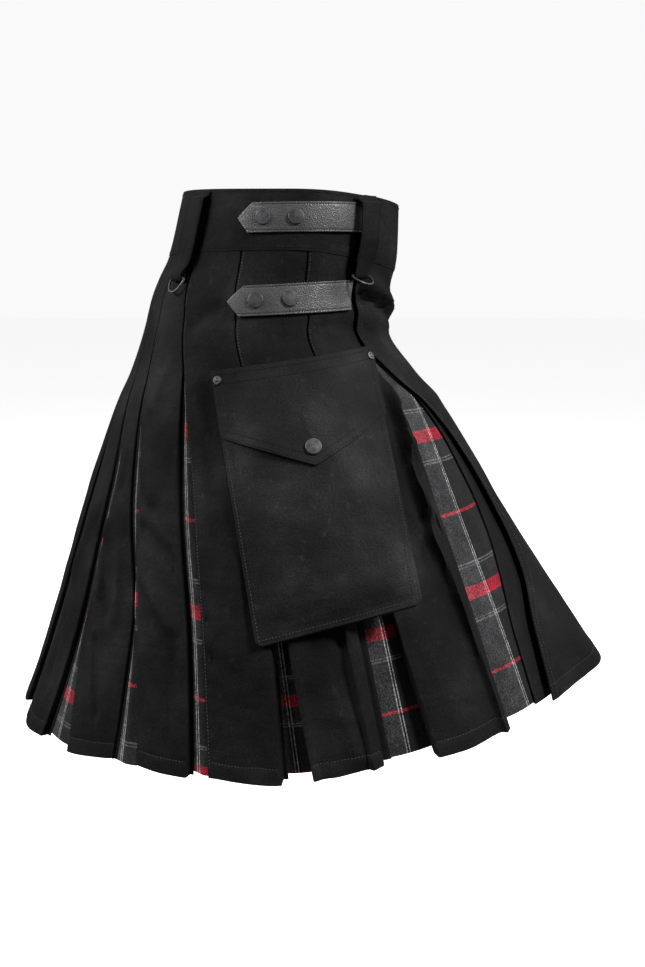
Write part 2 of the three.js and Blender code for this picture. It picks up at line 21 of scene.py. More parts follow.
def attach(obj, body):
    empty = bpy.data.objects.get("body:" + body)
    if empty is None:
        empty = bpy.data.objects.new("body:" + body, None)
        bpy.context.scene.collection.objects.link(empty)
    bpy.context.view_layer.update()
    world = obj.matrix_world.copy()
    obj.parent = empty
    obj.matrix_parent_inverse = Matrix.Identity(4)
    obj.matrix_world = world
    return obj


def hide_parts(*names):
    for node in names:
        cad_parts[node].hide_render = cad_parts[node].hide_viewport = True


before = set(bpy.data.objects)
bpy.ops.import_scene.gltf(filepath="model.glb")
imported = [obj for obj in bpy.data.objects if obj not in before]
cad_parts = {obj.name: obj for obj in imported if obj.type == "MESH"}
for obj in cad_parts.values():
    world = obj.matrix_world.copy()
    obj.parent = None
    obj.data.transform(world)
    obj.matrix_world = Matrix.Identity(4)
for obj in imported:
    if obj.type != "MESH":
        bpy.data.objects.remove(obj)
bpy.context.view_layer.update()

bl_info = {
    "name": "Utility kilt",
    "version": (1, 0, 0),
    "blender": (4, 5, 0),
    "location": "View3D > Sidebar > Kilt",
    "description": "Dresses a packed utility kilt in drill, checked wool, leather and gunmetal",
    "category": "Object",
}

MM = 0.001
RIGHT = 1
LEFT = -1
SIDES = ((RIGHT, "right"), (LEFT, "left"))

# Outline of the cloth's outer surface at each height
SECTION_Z = [60, 34, -33, -85, -102, -120, -170, -201, -235, -333, -432, -514, -563, -600]
SECTION_HALF = [146, 150, 157, 165, 168, 172, 184, 192, 203, 236, 268, 292, 306, 316]
SECTION_FRONT = [-122, -121.7, -119.4, -111.6, -114, -109.4, -139.9, -166.4, -189.2, -247,
                 -307.7, -358.8, -391, -414]
SECTION_BACK = [131, 136.7, 151.9, 172.8, 177, 181.1, 196.9, 210, 222.2, 253, 280.7, 306,
                323, 335]

# Heights at the centre front, the side and the centre back
BAND_TOP = (24, 34, 40)
BAND_SEAM = (-54, -32, -35)
HEM_SIDE, HEM_FRONT_RISE, HEM_BACK_DROP, HEM_BACK_POWER = -538, 47, 17, 0.7
SKIRT_LENGTH, APRON_LENGTH = 505, 470

# Falls at which the tables with five values hold, and how the layers lie on each other
STATIONS = [0, 0.25, 0.5, 0.75, 1]
CLOTH = 1.2                     # thickness of the drill and the wool
SEAM = 0.35                     # gap between pieces that meet
INSET_GAP = 0.45                # gap between a panel's return and the wool behind it
PANEL_GAP = 1.3                 # least gap between two panels' faces
LAP = 8                         # how far the wool runs on behind its neighbours
BAND_LAP = 3.9                  # how far the cloth sinks under the apron's edge
LAP_ANGLES = (53, 76)           # where the sunk cloth rises again, round the body
LAP_FALLS = (0.14, 0.3)         # and down the skirt
BAND_PROUD = 0.7                # how far the band stands out over the tops of the pleats
BAND_LENGTH, BAND_HEIGHT, BAND_THICK, APRON_THICK = 1300, 80, 3.4, 1.6
BAND_STITCHED = 364             # degrees of the band that show outside the apron's lap
RETURN_DEPTH = [3.4, 4.4, 9, 11, 12]        # of a pleat, behind its face
UNDER_DEPTH = [0, 2.4, 7.4, 9.4, 10.4]      # of the under apron, behind the apron

# Pleat panels from the apron to the back: angles of the edge nearer the front and of the
# edge nearer the back, crown of the face, width of the return, swing and drop of the hem
# corners, whether the wool is sewn flush along the back edge, and the share of the return's
# full depth that the front edge is tucked in
PANELS = [
    {"front": [50.9, 43.5, 49, 52.7, 55.8], "back": [77.7, 69.5, 70.5, 71.8, 71.5],
     "crown": 3, "fold": [1, 4, 15, 13, 7], "swing": [2, 5], "drop": [1, 3],
     "flush": False, "tuck": 1},
    {"front": [78.2, 70, 76, 79.8, 80.6], "back": [108.8, 99.5, 96, 94.4, 92.5],
     "crown": 2, "fold": [1, 3, 8, 10, 10], "swing": [-2, 3], "drop": [0, 2],
     "flush": False, "tuck": 1},
    {"front": [109.3, 99.9, 98, 97.5, 97.5], "back": [134.8, 124.2, 115.4, 111.8, 109.7],
     "crown": 3, "fold": [1, 2, 4, 5, 5], "swing": [3, 0], "drop": [4, 0],
     "flush": True, "tuck": 1},
    {"front": [135.3, 124.8, 120.3, 115.6, 113.5], "back": [150, 145.3, 134, 128.2, 124.8],
     "crown": 3, "fold": [1, 2, 4, 4, 4], "swing": [0, -4], "drop": [2, -2],
     "flush": True, "tuck": 0.75},
    {"front": [150.5, 145.9, 137.5, 129.4, 129], "back": [161.4, 157.4, 145.5, 145, 140.2],
     "crown": 2, "fold": [1, 2, 4, 3, 4], "swing": [-4, 2], "drop": [-2, 3],
     "flush": True, "tuck": 0.45},
    {"front": [161.9, 158, 149, 147.8, 149.8], "back": [171.6, 168.6, 161, 160.5, 162.5],
     "crown": 4, "fold": [1, 2, 4, 4, 5], "swing": [3, 1], "drop": [2, 0],
     "flush": True, "tuck": 0.4},
]

# Open folds beside the first two insets: width of the strip along the panel's front edge at
# each fall, by panel. The strip slopes up to a ridge, with a hollow behind it.
STRIP_FALL = [0, 0.28, 0.36, 0.5, 0.75, 1]
STRIPS = {0: [0, 0, 8, 15, 12, 9], 1: [0, 0, 6, 13, 13, 12]}
STRIP_RIDGE, STRIP_BACK = 5.0, 4
HOLLOW_DEPTH, HOLLOW_FRONT, HOLLOW_BACK = 7.0, 9, (16, 58)
HOLLOW_LOW = 0.7                # share of its depth that the hollow loses towards the hem

# Centre back panel, and how far the left side's pleats swing round at the hem
BACK_EDGE = [172.1, 169.3, 168, 169, 171]
BACK_CROWN = 3
BACK_TUCK = 0.6
BACK_FOLD = [1, 2, 4, 5, 5]
LEFT_SWAY = 0.9

# Edges of the panels: their least return, the radius of the turns at the face and behind it,
# and how deep the edge goes down to wool that it is sewn to
LEAST_FOLD = 0.6
EDGE_TURN, INNER_TURN, FLUSH_LIP = 1.5, 1.1, 2.0
CROWN_FALLS = (0.2, 0.5)        # where a panel's crown grows to its full height

# Free edge of the apron and back edge of the under apron, by fall
APRON_FALL = [0, 0.15, 0.25, 0.35, 0.45, 0.55, 0.65, 0.75, 0.85, 1]
APRON_EDGE = [50, 46, 38, 27.5, 21.5, 19.5, 21, 26, 34.8, 42.2]
UNDER_EDGE = [50.2, 46.2, 36.5, 29, 25.8, 26.2, 29.3, 35.2, 40.8, 45.6]
APRON_LEFT = [50.3, 45, 41.5, 41.5, 43.5]
UNDER_SHORT = 6                 # degrees that the under apron stops short of the apron
BAND_END = 405                  # angle of the band's far end
# The apron flares out to a corner near its free edge, round this angle
APRON_FLARE = {"height": 15, "falls": (0.5, 1.05), "angle": 17, "reach": 10}
APRON_COLUMNS, UNDER_COLUMNS = 60, 32

# Ripples of each piece: the seed that sets them apart, and their strength
RIPPLES = {
    "panel": (1, 1.4), "back": (21, 1.3), "band": (31, 0.45), "apron": (41, 1.2),
    "under_apron": (43, 0.7), "inset": (50, 0.5), "strap": (61, 0.25), "pocket": (71, 1.5),
    "flap": (81, 0.7),
}
# Sizes of the ripples in mm, and the scale of the panels' creases
LONG_FOLDS = {"across": 42, "down": 190, "height": 1.5}
SHORT_FOLDS = {"across": 26, "slant": 60, "down": 34, "height": 0.55}
CREASE_SCALE = 2.5
EDGE_FADE = 9                   # the folds die out this near a panel's edges
STRIP_FADE = 30                 # but not over the open folds
LEFT_STEP = 10                  # sets the left side's ripples apart from the right's

# Turned hem: its rows of points and where the rows above it end, in hem heights over the
# edge, the step where it turns and the groove along its stitches
HEM_ROWS = (1.2, 1.1, 1.0, 0.9, 0.8, 0.5, 0.2, 0.07, 0)
HEM_CLEAR, HEM_STEP, HEM_GROOVE = 1.35, 0.5, 0.45

# Sewing: first and second row of stitches from an edge, the groove under the first, and the
# fall at which the stitches of an open pleat end, with its groove fading out round it
STITCH_INSET, SECOND_ROW = 2.2, 8.5
GROOVE_WIDTH, GROOVE_DEPTH = 0.9, 0.3
HIP_STITCHES, GROOVE_END = 0.3, (0.27, 0.31)
THREAD_LIFT = 0.6               # of a stitch's middle over the cloth, in thread radii
PROBE_ACROSS, PROBE_DOWN = 0.004, 0.002     # steps that find which way a surface faces

# Creases of the right side's panels and the apron: start and end as (across, fall), then
# height and reach in mm
CREASES = {
    0: [((0.0, 0.30), (0.10, 0.42), 3.0, 9), ((0.05, 0.42), (0.16, 0.56), 2.6, 8),
        ((0.02, 0.35), (0.14, 0.50), -2.5, 5), ((0.10, 0.60), (0.30, 0.66), -2.0, 8),
        ((0.20, 0.150), (0.72, 0.158), -0.5, 7), ((0.25, 0.118), (0.7, 0.128), 0.5, 9)],
    1: [((0.1, 0.70), (0.5, 0.76), 1.6, 9), ((0.2, 0.78), (0.7, 0.74), -1.4, 7),
        ((0.55, 0.82), (0.35, 0.97), 1.5, 10), ((0.8, 0.86), (0.85, 1.0), -1.2, 8)],
    2: [((0.64, 0.44), (0.68, 0.49), -1.8, 11), ((0.64, 0.56), (0.67, 0.63), -1.2, 9),
        ((0.98, 0.727), (0.94, 0.732), -1.8, 6), ((0.95, 0.791), (0.9, 0.796), -1.6, 6),
        ((0.81, 0.26), (0.78, 0.36), 1.6, 14), ((0.35, 0.62), (0.5, 0.78), 1.3, 9),
        ((0.2, 0.85), (0.3, 0.97), -1.2, 9), ((0.3, 0.12), (0.8, 0.16), -1.0, 6)],
    3: [((0.91, 0.436), (0.60, 0.502), 2.0, 8), ((0.77, 0.57), (0.09, 0.63), -2.2, 8),
        ((1.0, 0.623), (0.27, 0.735), 2.2, 10), ((0.85, 0.80), (0.6, 0.90), 1.6, 9),
        ((0.25, 0.80), (0.35, 0.95), -1.4, 7), ((0.4, 0.25), (0.7, 0.33), 1.2, 9)],
    4: [((0.85, 0.568), (0.73, 0.70), 2.4, 7), ((0.83, 0.603), (0.5, 0.741), -1.8, 4),
        ((0.68, 0.795), (0.46, 0.927), -2.0, 5), ((0.35, 0.62), (0.3, 0.74), 1.6, 7),
        ((0.3, 0.45), (0.6, 0.50), -1.5, 8)],
    5: [((0.3, 0.55), (0.6, 0.68), 1.8, 9), ((0.6, 0.78), (0.4, 0.92), -1.8, 7)],
    "apron": [((0.90, 0.052), (0.50, 0.095), 5.5, 9), ((0.95, 0.085), (0.56, 0.12), -9.0, 8),
              ((0.90, 0.155), (0.60, 0.145), 2.5, 8),
              ((0.85, 0.2), (0.7, 0.33), 1.8, 12),
              ((0.3, 0.5), (0.5, 0.9), 2.0, 30), ((0.75, 0.6), (0.7, 0.95), -2.0, 26)],
}

# Check of the wool, by inset: the fall of each red bar and the repeat that it stands for
CHECK_BARS = [
    ([0.42, 0.595, 0.758, 0.912], [0, 0.5, 1, 1.5]),
    ([0.782, 0.925], [1, 1.5]),
    ([0.875, 1.0], [1, 1.5]),
    ([0.372, 0.545, 0.715, 0.87, 0.995], [0, 0.5, 1, 1.5, 2]),
    ([0.37, 0.537, 0.703, 0.86], [0, 0.5, 1, 1.5]),
    ([0.76, 0.915], [0.5, 1]),
    ([0.4, 0.73], [0, 1]),
]
CHECK_REPEAT = 172
CHECK_BLACK = (0.010, 0.010, 0.011)
DRILL_PITCH, WOOL_PITCH = 0.0011, 0.0016    # of the twill's ribs, in metres
WARP_LINE = [46, 29]            # from the front pleats' edges to the double white line, in mm
INSET_COLUMNS = 10
FLUSH_DEPTH = 2.1               # how deep the wool lies along an edge that it is sewn to
SWELL_FLUSH, SWELL_FREE = 1.2, 2.5

# Belt loops: wide over the band and narrow at the ring, whose bar stands off the cloth in the
# loop's fold. Each loop has its top and its bar's height, how far it stands off, and the lean
# of its ring in degrees.
LOOP_WIDTH, LOOP_TAB, LOOP_THICK, LOOP_BAR, LOOP_CLEAR = 30, 21, 2.0, 4.4, 0.45
LOOPS = [
    {"name": "front", "angle": 49.5, "top": 29, "bar": -60, "off": 11, "lean": 56},
    {"name": "back", "angle": 138.5, "top": 35, "bar": -63, "off": 10, "lean": 27},
]
RING_WIRE, RING_HALF, RING_DROP, RING_CORNER = 1.3, 13.6, 17, 2.2

# Leather straps, from the root at the front loop to the pointed tip. Rows and places across a
# strap are shares of its width.
STRAP_LENGTH, STRAP_WIDTH, STRAP_POINT, STRAP_LIFT, LEATHER = 150, 33, 14, 0.9, 2.2
STRAP_GROOVE = {"edge": 0.85, "reach": 0.04, "depth": 0.3}
STRAP_STITCHES = 0.075
STRAP_DIP = {"share": 0.75, "angles": (51, 68)}
STRAP_ROWS = [0, 0.02, 0.045, 0.06, 0.075, 0.09, 0.105, 0.14, 0.22, 0.32, 0.42]
STRAPS = [
    {"name": "upper", "tip": 113, "root": 51, "z_tip": 2.5, "z_root": 4.5,
     "snaps": [100.8, 85.8]},
    {"name": "lower", "tip": 107.5, "root": 51, "z_tip": -88, "z_root": -81,
     "snaps": [95.2, 80.8]},
]

# Metal caps, from the rim to the middle: radius and height
SNAP_PROFILE = [(8.2, 0), (8.5, 0.6), (8.5, 1.3), (8.2, 1.75), (7.7, 1.95), (7.1, 1.9),
                (6.6, 1.95), (5.0, 2.1), (2.6, 2.2), (1.0, 2.22)]
RIVET_PROFILE = [(4.6, 0), (4.75, 0.5), (4.4, 1.1), (3.5, 1.5), (2.6, 1.35), (2.1, 1.7),
                 (1.2, 2.2), (0.5, 2.3)]
CAP_LIFT = 0.6                  # how far a cap stands off the face under it

# Cargo pocket and its flap; places on it are shares of its width and its height
POCKET_WIDTH, POCKET_HEIGHT = 165, 250
POCKET_TOP_BACK, POCKET_TOP_FRONT = (111.2, -163), (41.5, -139)
POCKET_BOTTOM_BACK = Vector((-267, 39, -425))
POCKET_BOTTOM_FRONT = Vector((-268, -122.6, -382))
POCKET_WALL, POCKET_PUFF, POCKET_OFF, POCKET_BULGE, POCKET_EDGE = 1.4, 5, 1.0, 8, 0.5
POCKET_CORNER = 6
POCKET_COLUMNS, POCKET_BACK_COLUMNS = 34, 12
POCKET_CLOTH = 1.1
POCKET_CREASES = [
    ((0.05, 0.92), (0.35, 0.80), 1.6, 8), ((0.15, 0.96), (0.55, 0.90), -1.4, 6),
    ((0.75, 0.95), (0.97, 0.75), 1.8, 8), ((0.60, 0.80), (0.90, 0.92), -1.2, 7),
    ((0.30, 0.50), (0.45, 0.72), 1.2, 14), ((0.80, 0.45), (0.85, 0.70), -1.2, 9),
]
FLAP_WALL, FLAP_GAP, FLAP_BACK, FLAP_FRONT, FLAP_APEX = 1.8, 0.8, 0.255, 0.29, 0.415
FLAP_ACROSS, FLAP_SNAP = 0.49, 0.345
RIVETS = [("back", 0.035, 0.04), ("front", 0.955, 0.045)]

# Stage, in metres: each light's place, its size and its share of the key or the fill power
LIGHTS = [
    ("key", (-1.4, -2.3, 1.9), 0.8, "key_power", 1),
    ("fill", (-0.9, 2.8, 1.6), 1.2, "fill_power", 2.9),
    ("front", (0.9, -3.0, 1.3), 2.0, "fill_power", 1),
    ("back", (0.8, 3.0, 1.3), 2.0, "fill_power", 1),
    ("far_side", (3.0, 0, 1.5), 2.2, "fill_power", 1),
]
LIGHT_TARGET = Vector((0, 0, -0.25))
CAMERA_PLACE, CAMERA_SHIFT = (-1.42, 0, -0.067), (0.0264, -0.2084)
FLOOR_RADIUS, FLOOR_GLOW = 30, 0.82
WORLD_LIGHT, WORLD_SEEN = 0.12, 0.95


# Curves and the kilt's surface

def lerp(a, b, t):
    return a + (b - a) * t


def steps(count, low=0, high=1):
    """Evenly spaced values from low to high, with both ends."""
    return [lerp(low, high, i / count) for i in range(count + 1)]


def smoothstep(x, low, high):
    t = min(max((x - low) / (high - low), 0), 1)
    return t * t * (3 - 2 * t)


def smooth_curve(xs, ys):
    """A smooth curve through a table's points that never overshoots them."""
    if xs[0] > xs[-1]:
        xs, ys = xs[::-1], ys[::-1]
    last = len(xs) - 1
    slopes = [(ys[i + 1] - ys[i]) / (xs[i + 1] - xs[i]) for i in range(last)]
    tangents = [slopes[0]]
    for a, b in zip(slopes, slopes[1:]):
        tangents.append(2 * a * b / (a + b) if a * b > 0 else 0)
    tangents.append(slopes[-1])

    def curve(x):
        at = min(max(x, xs[0]), xs[last])
        i = min(bisect_right(xs, at) - 1, last - 1)
        span = xs[i + 1] - xs[i]
        t = (at - xs[i]) / span
        rest = 1 - t
        return (ys[i] * (1 + 2 * t) * rest * rest + ys[i + 1] * (3 - 2 * t) * t * t
                + span * t * rest * (tangents[i] * rest - tangents[i + 1] * t))

    return curve


def straight_curve(xs, ys, x):
    """The straight-line value at x, carried on past both ends."""
    i = min(max(bisect_right(xs, x) - 1, 0), len(xs) - 2)
    return ys[i] + (ys[i + 1] - ys[i]) * (x - xs[i]) / (xs[i + 1] - xs[i])


half_at = smooth_curve(SECTION_Z, SECTION_HALF)
front_at = smooth_curve(SECTION_Z, SECTION_FRONT)
back_at = smooth_curve(SECTION_Z, SECTION_BACK)
apron_edge = smooth_curve(APRON_FALL, APRON_EDGE)
under_edge = smooth_curve(APRON_FALL, UNDER_EDGE)
apron_left = smooth_curve(STATIONS, APRON_LEFT)
return_depth = smooth_curve(STATIONS, RETURN_DEPTH)
under_depth = smooth_curve(STATIONS, UNDER_DEPTH)
back_edge = smooth_curve(STATIONS, BACK_EDGE)
back_fold = smooth_curve(STATIONS, BACK_FOLD)
strip_at = {number: smooth_curve(STRIP_FALL, widths) for number, widths in STRIPS.items()}


def skin(angle, z, inset=0.0):
    """A point of the outer surface, moved in by an inset."""
    turn = math.radians(angle)
    half, front, back = half_at(z), front_at(z), back_at(z)
    middle, deep = (front + back) / 2, (back - front) / 2
    out = Vector((-math.sin(turn) / half, -math.cos(turn) / deep)).normalized()
    return Vector((-half * math.sin(turn) - inset * out.x,
                   middle - deep * math.cos(turn) - inset * out.y, z))


def frame_at(angle, z):
    """Level directions on the surface: round it, and out of it."""
    along = (skin(angle + 0.05, z) - skin(angle - 0.05, z)).normalized()
    out = Vector((-along.y, along.x, 0))
    return along, out if out.dot(skin(angle, z)) > 0 else -out


def outward(point):
    """The level direction from the body's middle to a point."""
    return Vector((point.x, point.y - (front_at(point.z) + back_at(point.z)) / 2, 0))


def degrees_per_mm(angle, z):
    return 1 / (skin(angle + 0.5, z) - skin(angle - 0.5, z)).length


def level(heights, angle):
    front, side, back = heights
    facing = math.cos(math.radians(angle))
    end = front if facing > 0 else back
    return side + (end - side) * facing * facing


def hem_height(angle):
    facing = math.cos(math.radians(angle))
    if facing > 0:
        return HEM_SIDE + HEM_FRONT_RISE * facing
    return HEM_SIDE - HEM_BACK_DROP * (-facing) ** HEM_BACK_POWER


def fall_height(angle, fall):
    return lerp(level(BAND_SEAM, angle) - SEAM, hem_height(angle), fall)


def sunk(angle, fall):
    """How far the cloth sinks to let the apron's edge lie on it."""
    if angle < 0:
        return 0
    return BAND_LAP * (1 - smoothstep(angle, *LAP_ANGLES)) * (1 - smoothstep(fall, *LAP_FALLS))


def check_depth(angle, fall, tuck=1):
    """How deep the wool lies, just behind the panels' returns."""
    return return_depth(fall) * tuck + sunk(angle, fall) + CLOTH + INSET_GAP


# Folds of the cloth

def crease_height(creases, across, fall, width, length):
    """Ridges and dents at a place, from their table."""
    total = 0
    at = Vector((across * width, fall * length))
    for start, end, height, reach in creases:
        a = Vector((start[0] * width, start[1] * length))
        run = Vector((end[0] * width, end[1] * length)) - a
        t = min(max((at - a).dot(run) / max(run.length_squared, 1e-6), 0), 1)
        gap = (at - a - run * t).length / reach
        total += height * math.exp(-gap * gap)
    return total


def ripple(across_mm, down_mm, piece, step=0):
    """The small unevenness of worn cloth, long folds down it and short ones over it."""
    seed, strength = RIPPLES[piece]
    seed += step
    wide, small = LONG_FOLDS, SHORT_FOLDS
    long_folds = noise.noise(Vector((across_mm / wide["across"], down_mm / wide["down"],
                                     seed * 7.3)))
    short_folds = noise.noise(Vector((across_mm / small["across"] + down_mm / small["slant"],
                                      down_mm / small["down"], seed * 3.1)))
    return strength * (wide["height"] * long_folds + small["height"] * short_folds)


def hem_share(settings):
    """The turned hem's share of the fall."""
    return settings.hem_turn / MM / SKIRT_LENGTH


def fall_rows(settings):
    """Falls of the rows down the skirt, closer together at the turned hem."""
    hem = hem_share(settings)
    count = settings.rows
    falls = [(1 - hem * HEM_CLEAR) * i / count for i in range(count + 1)]
    return falls + [1 - hem * row for row in HEM_ROWS]


def hem_step(fall, settings):
    """The turned hem is thicker, with a groove along its stitching."""
    hem = hem_share(settings)
    line = (fall - (1 - hem)) / (hem * 0.11)
    thicker = HEM_STEP * smoothstep(fall, 1 - hem * 1.1, 1 - hem * 0.85)
    return thicker - HEM_GROOVE * math.exp(-line * line)


def hem_line(surface, settings):
    """The stitch line of a panel's turned hem."""
    return line_on(surface, [(across, 1 - hem_share(settings)) for across in steps(60)[2:-2]])


# Meshes

def make_mesh(name, points, faces, uvs, material):
    """An object from points in millimetres, with the cloth's own UVs where it has them."""
    mesh = bpy.data.meshes.new(name)
    mesh.from_pydata([point * MM for point in points], [], faces)
    if uvs:
        layer = mesh.uv_layers.new(name="cloth")
        for loop in mesh.loops:
            layer.data[loop.index].uv = uvs[loop.vertex_index]
    mesh.materials.append(material)
    mesh.validate()
    obj = bpy.data.objects.new(name, mesh)
    bpy.context.scene.collection.objects.link(obj)
    return obj


def select_only(obj):
    bpy.ops.object.select_all(action="DESELECT")
    obj.select_set(True)
    bpy.context.view_layer.objects.active = obj


def apply_modifiers(obj):
    select_only(obj)
    for modifier in list(obj.modifiers):
        bpy.ops.object.modifier_apply(modifier=modifier.name)


def smooth_by_angle(obj, degrees=40):
    select_only(obj)
    bpy.ops.object.shade_smooth_by_angle(angle=math.radians(degrees))


def grid_uvs(rows, middle):
    """UVs in metres: across from the middle column, down along it."""
    uvs = []
    down = 0
    for i, row in enumerate(rows):
        if i:
            down += (row[middle] - rows[i - 1][middle]).length
        along = [0]
        for a, b in zip(row, row[1:]):
            along.append(along[-1] + (b - a).length)
        uvs.extend(((s - along[middle]) * MM, down * MM) for s in along)
    return uvs


def cloth_sheet(name, rows, material, thickness, closed=False, uvs=None, bevel=0):
    """A wall of cloth whose outer side is a grid of points, with its cut size."""
    across, count = len(rows[0]), len(rows)
    points = [point for row in rows for point in row]
    faces = []
    for i in range(count - 1):
        for k in range(across if closed else across - 1):
            n = (k + 1) % across
            faces.append((i * across + k, i * across + n, (i + 1) * across + n,
                          (i + 1) * across + k))
    middle = across // 2
    i, k = count // 2, across // 4 if closed else middle
    a, b, c = rows[i][k], rows[i][k - 1], rows[i - 1][k]
    normal = (b - a).cross(c - a)
    if normal.dot(outward(a)) < 0:
        faces = [face[::-1] for face in faces]
    obj = make_mesh(name, points, faces, uvs or grid_uvs(rows, middle), material)
    area = sum(face.area for face in obj.data.polygons)
    width = max(sum((b - a).length for a, b in zip(row, row[1:])) for row in rows) * MM
    length = max(
        sum((rows[i + 1][k] - rows[i][k]).length for i in range(count - 1))
        for k in range(across)
    ) * MM
    solid = obj.modifiers.new("wall", "SOLIDIFY")
    solid.thickness = thickness * MM
    solid.offset = -1
    if bevel:
        edge = obj.modifiers.new("edge", "BEVEL")
        edge.width = bevel * MM
        edge.segments = 2
        edge.limit_method = "ANGLE"
        edge.angle_limit = math.radians(60)
    apply_modifiers(obj)
    smooth_by_angle(obj)
    return obj, (width, length, area)


def dress(obj, node, cut=None, body="kilt"):
    """Stands a finished piece in for its node, on its body; its cut is unpacked but not kept.
    """
    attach(obj, body)
    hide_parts(node)
    if cut:
        width, length, area = cut
        min(area, width * length)


def stitching(name, lines, settings, material):
    """Rows of stitches: each line is a list of places with the direction out of the cloth."""
    pitch, half = settings.stitch_pitch / MM, settings.stitch_length / MM / 2
    thick = settings.thread / MM
    points, faces = [], []
    for line in lines:
        travelled, due = 0.0, pitch / 2
        for (a, out_a), (b, out_b) in zip(line, line[1:]):
            run = (b - a).length
            if run < 1e-6:
                continue
            ahead = (b - a) / run
            while due <= travelled + run:
                t = (due - travelled) / run
                out = out_a.lerp(out_b, t).normalized()
                centre = a.lerp(b, t) + out * thick * THREAD_LIFT
                side = ahead.cross(out).normalized()
                base = len(points)
                points += [centre - ahead * half, centre + side * thick, centre + out * thick,
                           centre - side * thick, centre - out * thick, centre + ahead * half]
                for k in range(4):
                    n = (k + 1) % 4
                    faces.append((base, base + 1 + n, base + 1 + k))
                    faces.append((base + 5, base + 1 + k, base + 1 + n))
                due += pitch
            travelled += run
    obj = make_mesh(name, points, faces, None, material)
    smooth_by_angle(obj, 80)
    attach(obj, "kilt")
    return obj


def line_on(surface, places):
    """A stitch line on a surface, with the outward direction at each place."""
    line = []
    for u, v in places:
        point = surface(u, v)
        across = surface(u + PROBE_ACROSS, v) - surface(u - PROBE_ACROSS, v)
        down = surface(u, v + PROBE_DOWN) - surface(u, v - PROBE_DOWN)
        out = across.cross(down).normalized()
        line.append((point, out if out.dot(outward(point)) > 0 else -out))
    return line


# Pleat panels

def panel_shape(row, side, number, before):
    """A panel's edges down its fall, kept clear of the panel in front of it."""
    sway = LEFT_SWAY * math.sin(math.pi * (number + 1) / 3) if side == LEFT else 0
    front, back = smooth_curve(STATIONS, row["front"]), smooth_curve(STATIONS, row["back"])
    fold = smooth_curve(STATIONS, row["fold"])

    def edges(fall):
        middle = side * (front(fall) + back(fall)) / 2
        degrees = degrees_per_mm(middle, fall_height(middle, fall))
        previous = before(fall) * side
        start = max(front(fall) + sway * fall, previous + PANEL_GAP * degrees)
        end = back(fall) + sway * fall
        room = (start - previous) / degrees - SEAM
        width = min(max(fold(fall), LEAST_FOLD), max(room, LEAST_FOLD))
        return start, end, degrees, width

    return {"edges": edges, "side": side, "number": number, "row": row,
            "front": lambda fall: side * (front(fall) + sway * fall),
            "back": lambda fall: side * (back(fall) + sway * fall)}


def panel_place(shape, fall, across, offset, inset, hangs=True):
    """A point of a panel's section: offset in mm from its front edge."""
    start, _, degrees, _ = shape["edges"](fall)
    side, row = shape["side"], shape["row"]
    angle = (start + offset * degrees) * side
    low = lerp(row["drop"][0], row["drop"][1], across) * fall * fall
    hang = lerp(row["swing"][0], row["swing"][1], across) * fall ** 3 if hangs else 0
    return skin(angle, fall_height(angle, fall) - low, inset + sunk(angle, fall) - hang)


def strip_relief(number, x, fall):
    """The open fold beside the wool: a strip that slopes up from the edge, then a hollow."""
    strip = strip_at[number](fall)
    if strip < 1:
        return 0
    ridge = (STRIP_RIDGE * min(x / strip, 1)
             - STRIP_RIDGE * smoothstep(x, strip, strip + STRIP_BACK))
    near, far = HOLLOW_BACK
    hollow = (HOLLOW_DEPTH * smoothstep(x, strip, strip + HOLLOW_FRONT)
              * (1 - smoothstep(x, strip + near, strip + far)))
    kept = 1 - HOLLOW_LOW * smoothstep(fall, 0.6, 1)
    return (ridge - hollow * kept) * smoothstep(strip, 1, 8)


def panel_relief(shape, fall, across, width, settings):
    """How far the face stands out: its crown, creases, ripples and hem."""
    row, side, number = shape["row"], shape["side"], shape["number"]
    from_front, from_back = across * width, (1 - across) * width
    crown = row["crown"] * smoothstep(fall, *CROWN_FALLS) * math.sin(math.pi * across)
    creases = CREASES[number] if side == RIGHT else CREASES[(number + 2) % 6]
    fade = (smoothstep(from_front, 0, EDGE_FADE) * smoothstep(from_back, 0, EDGE_FADE)
            * smoothstep(fall, 0, 0.04))
    folds = CREASE_SCALE * crease_height(creases, across, fall, width, SKIRT_LENGTH)
    other = LEFT_STEP if side == LEFT else 0
    uneven = ripple(from_front, fall * SKIRT_LENGTH, "panel", number + other)
    folds += uneven * lerp(0.5, 1, smoothstep(fall, 0.1, 0.5))
    if number in STRIPS:
        folds += strip_relief(number, from_front, fall)
        fade = max(fade, 1 - smoothstep(from_front, 0, STRIP_FADE))
    stitched = 1 if row["flush"] else 1 - smoothstep(fall, *GROOVE_END)
    line = (from_back - STITCH_INSET) / GROOVE_WIDTH
    groove = GROOVE_DEPTH * math.exp(-line * line) * stitched
    return crown + folds * fade * settings.fold_strength - groove + hem_step(fall, settings)


def panel_face(shape, settings):
    """The face of a panel as a surface of across and fall."""
    def surface(across, fall):
        start, end, degrees, _ = shape["edges"](fall)
        width = (end - start) / degrees
        raised = panel_relief(shape, fall, across, width, settings)
        return panel_place(shape, fall, across, across * width, -raised)
    return surface


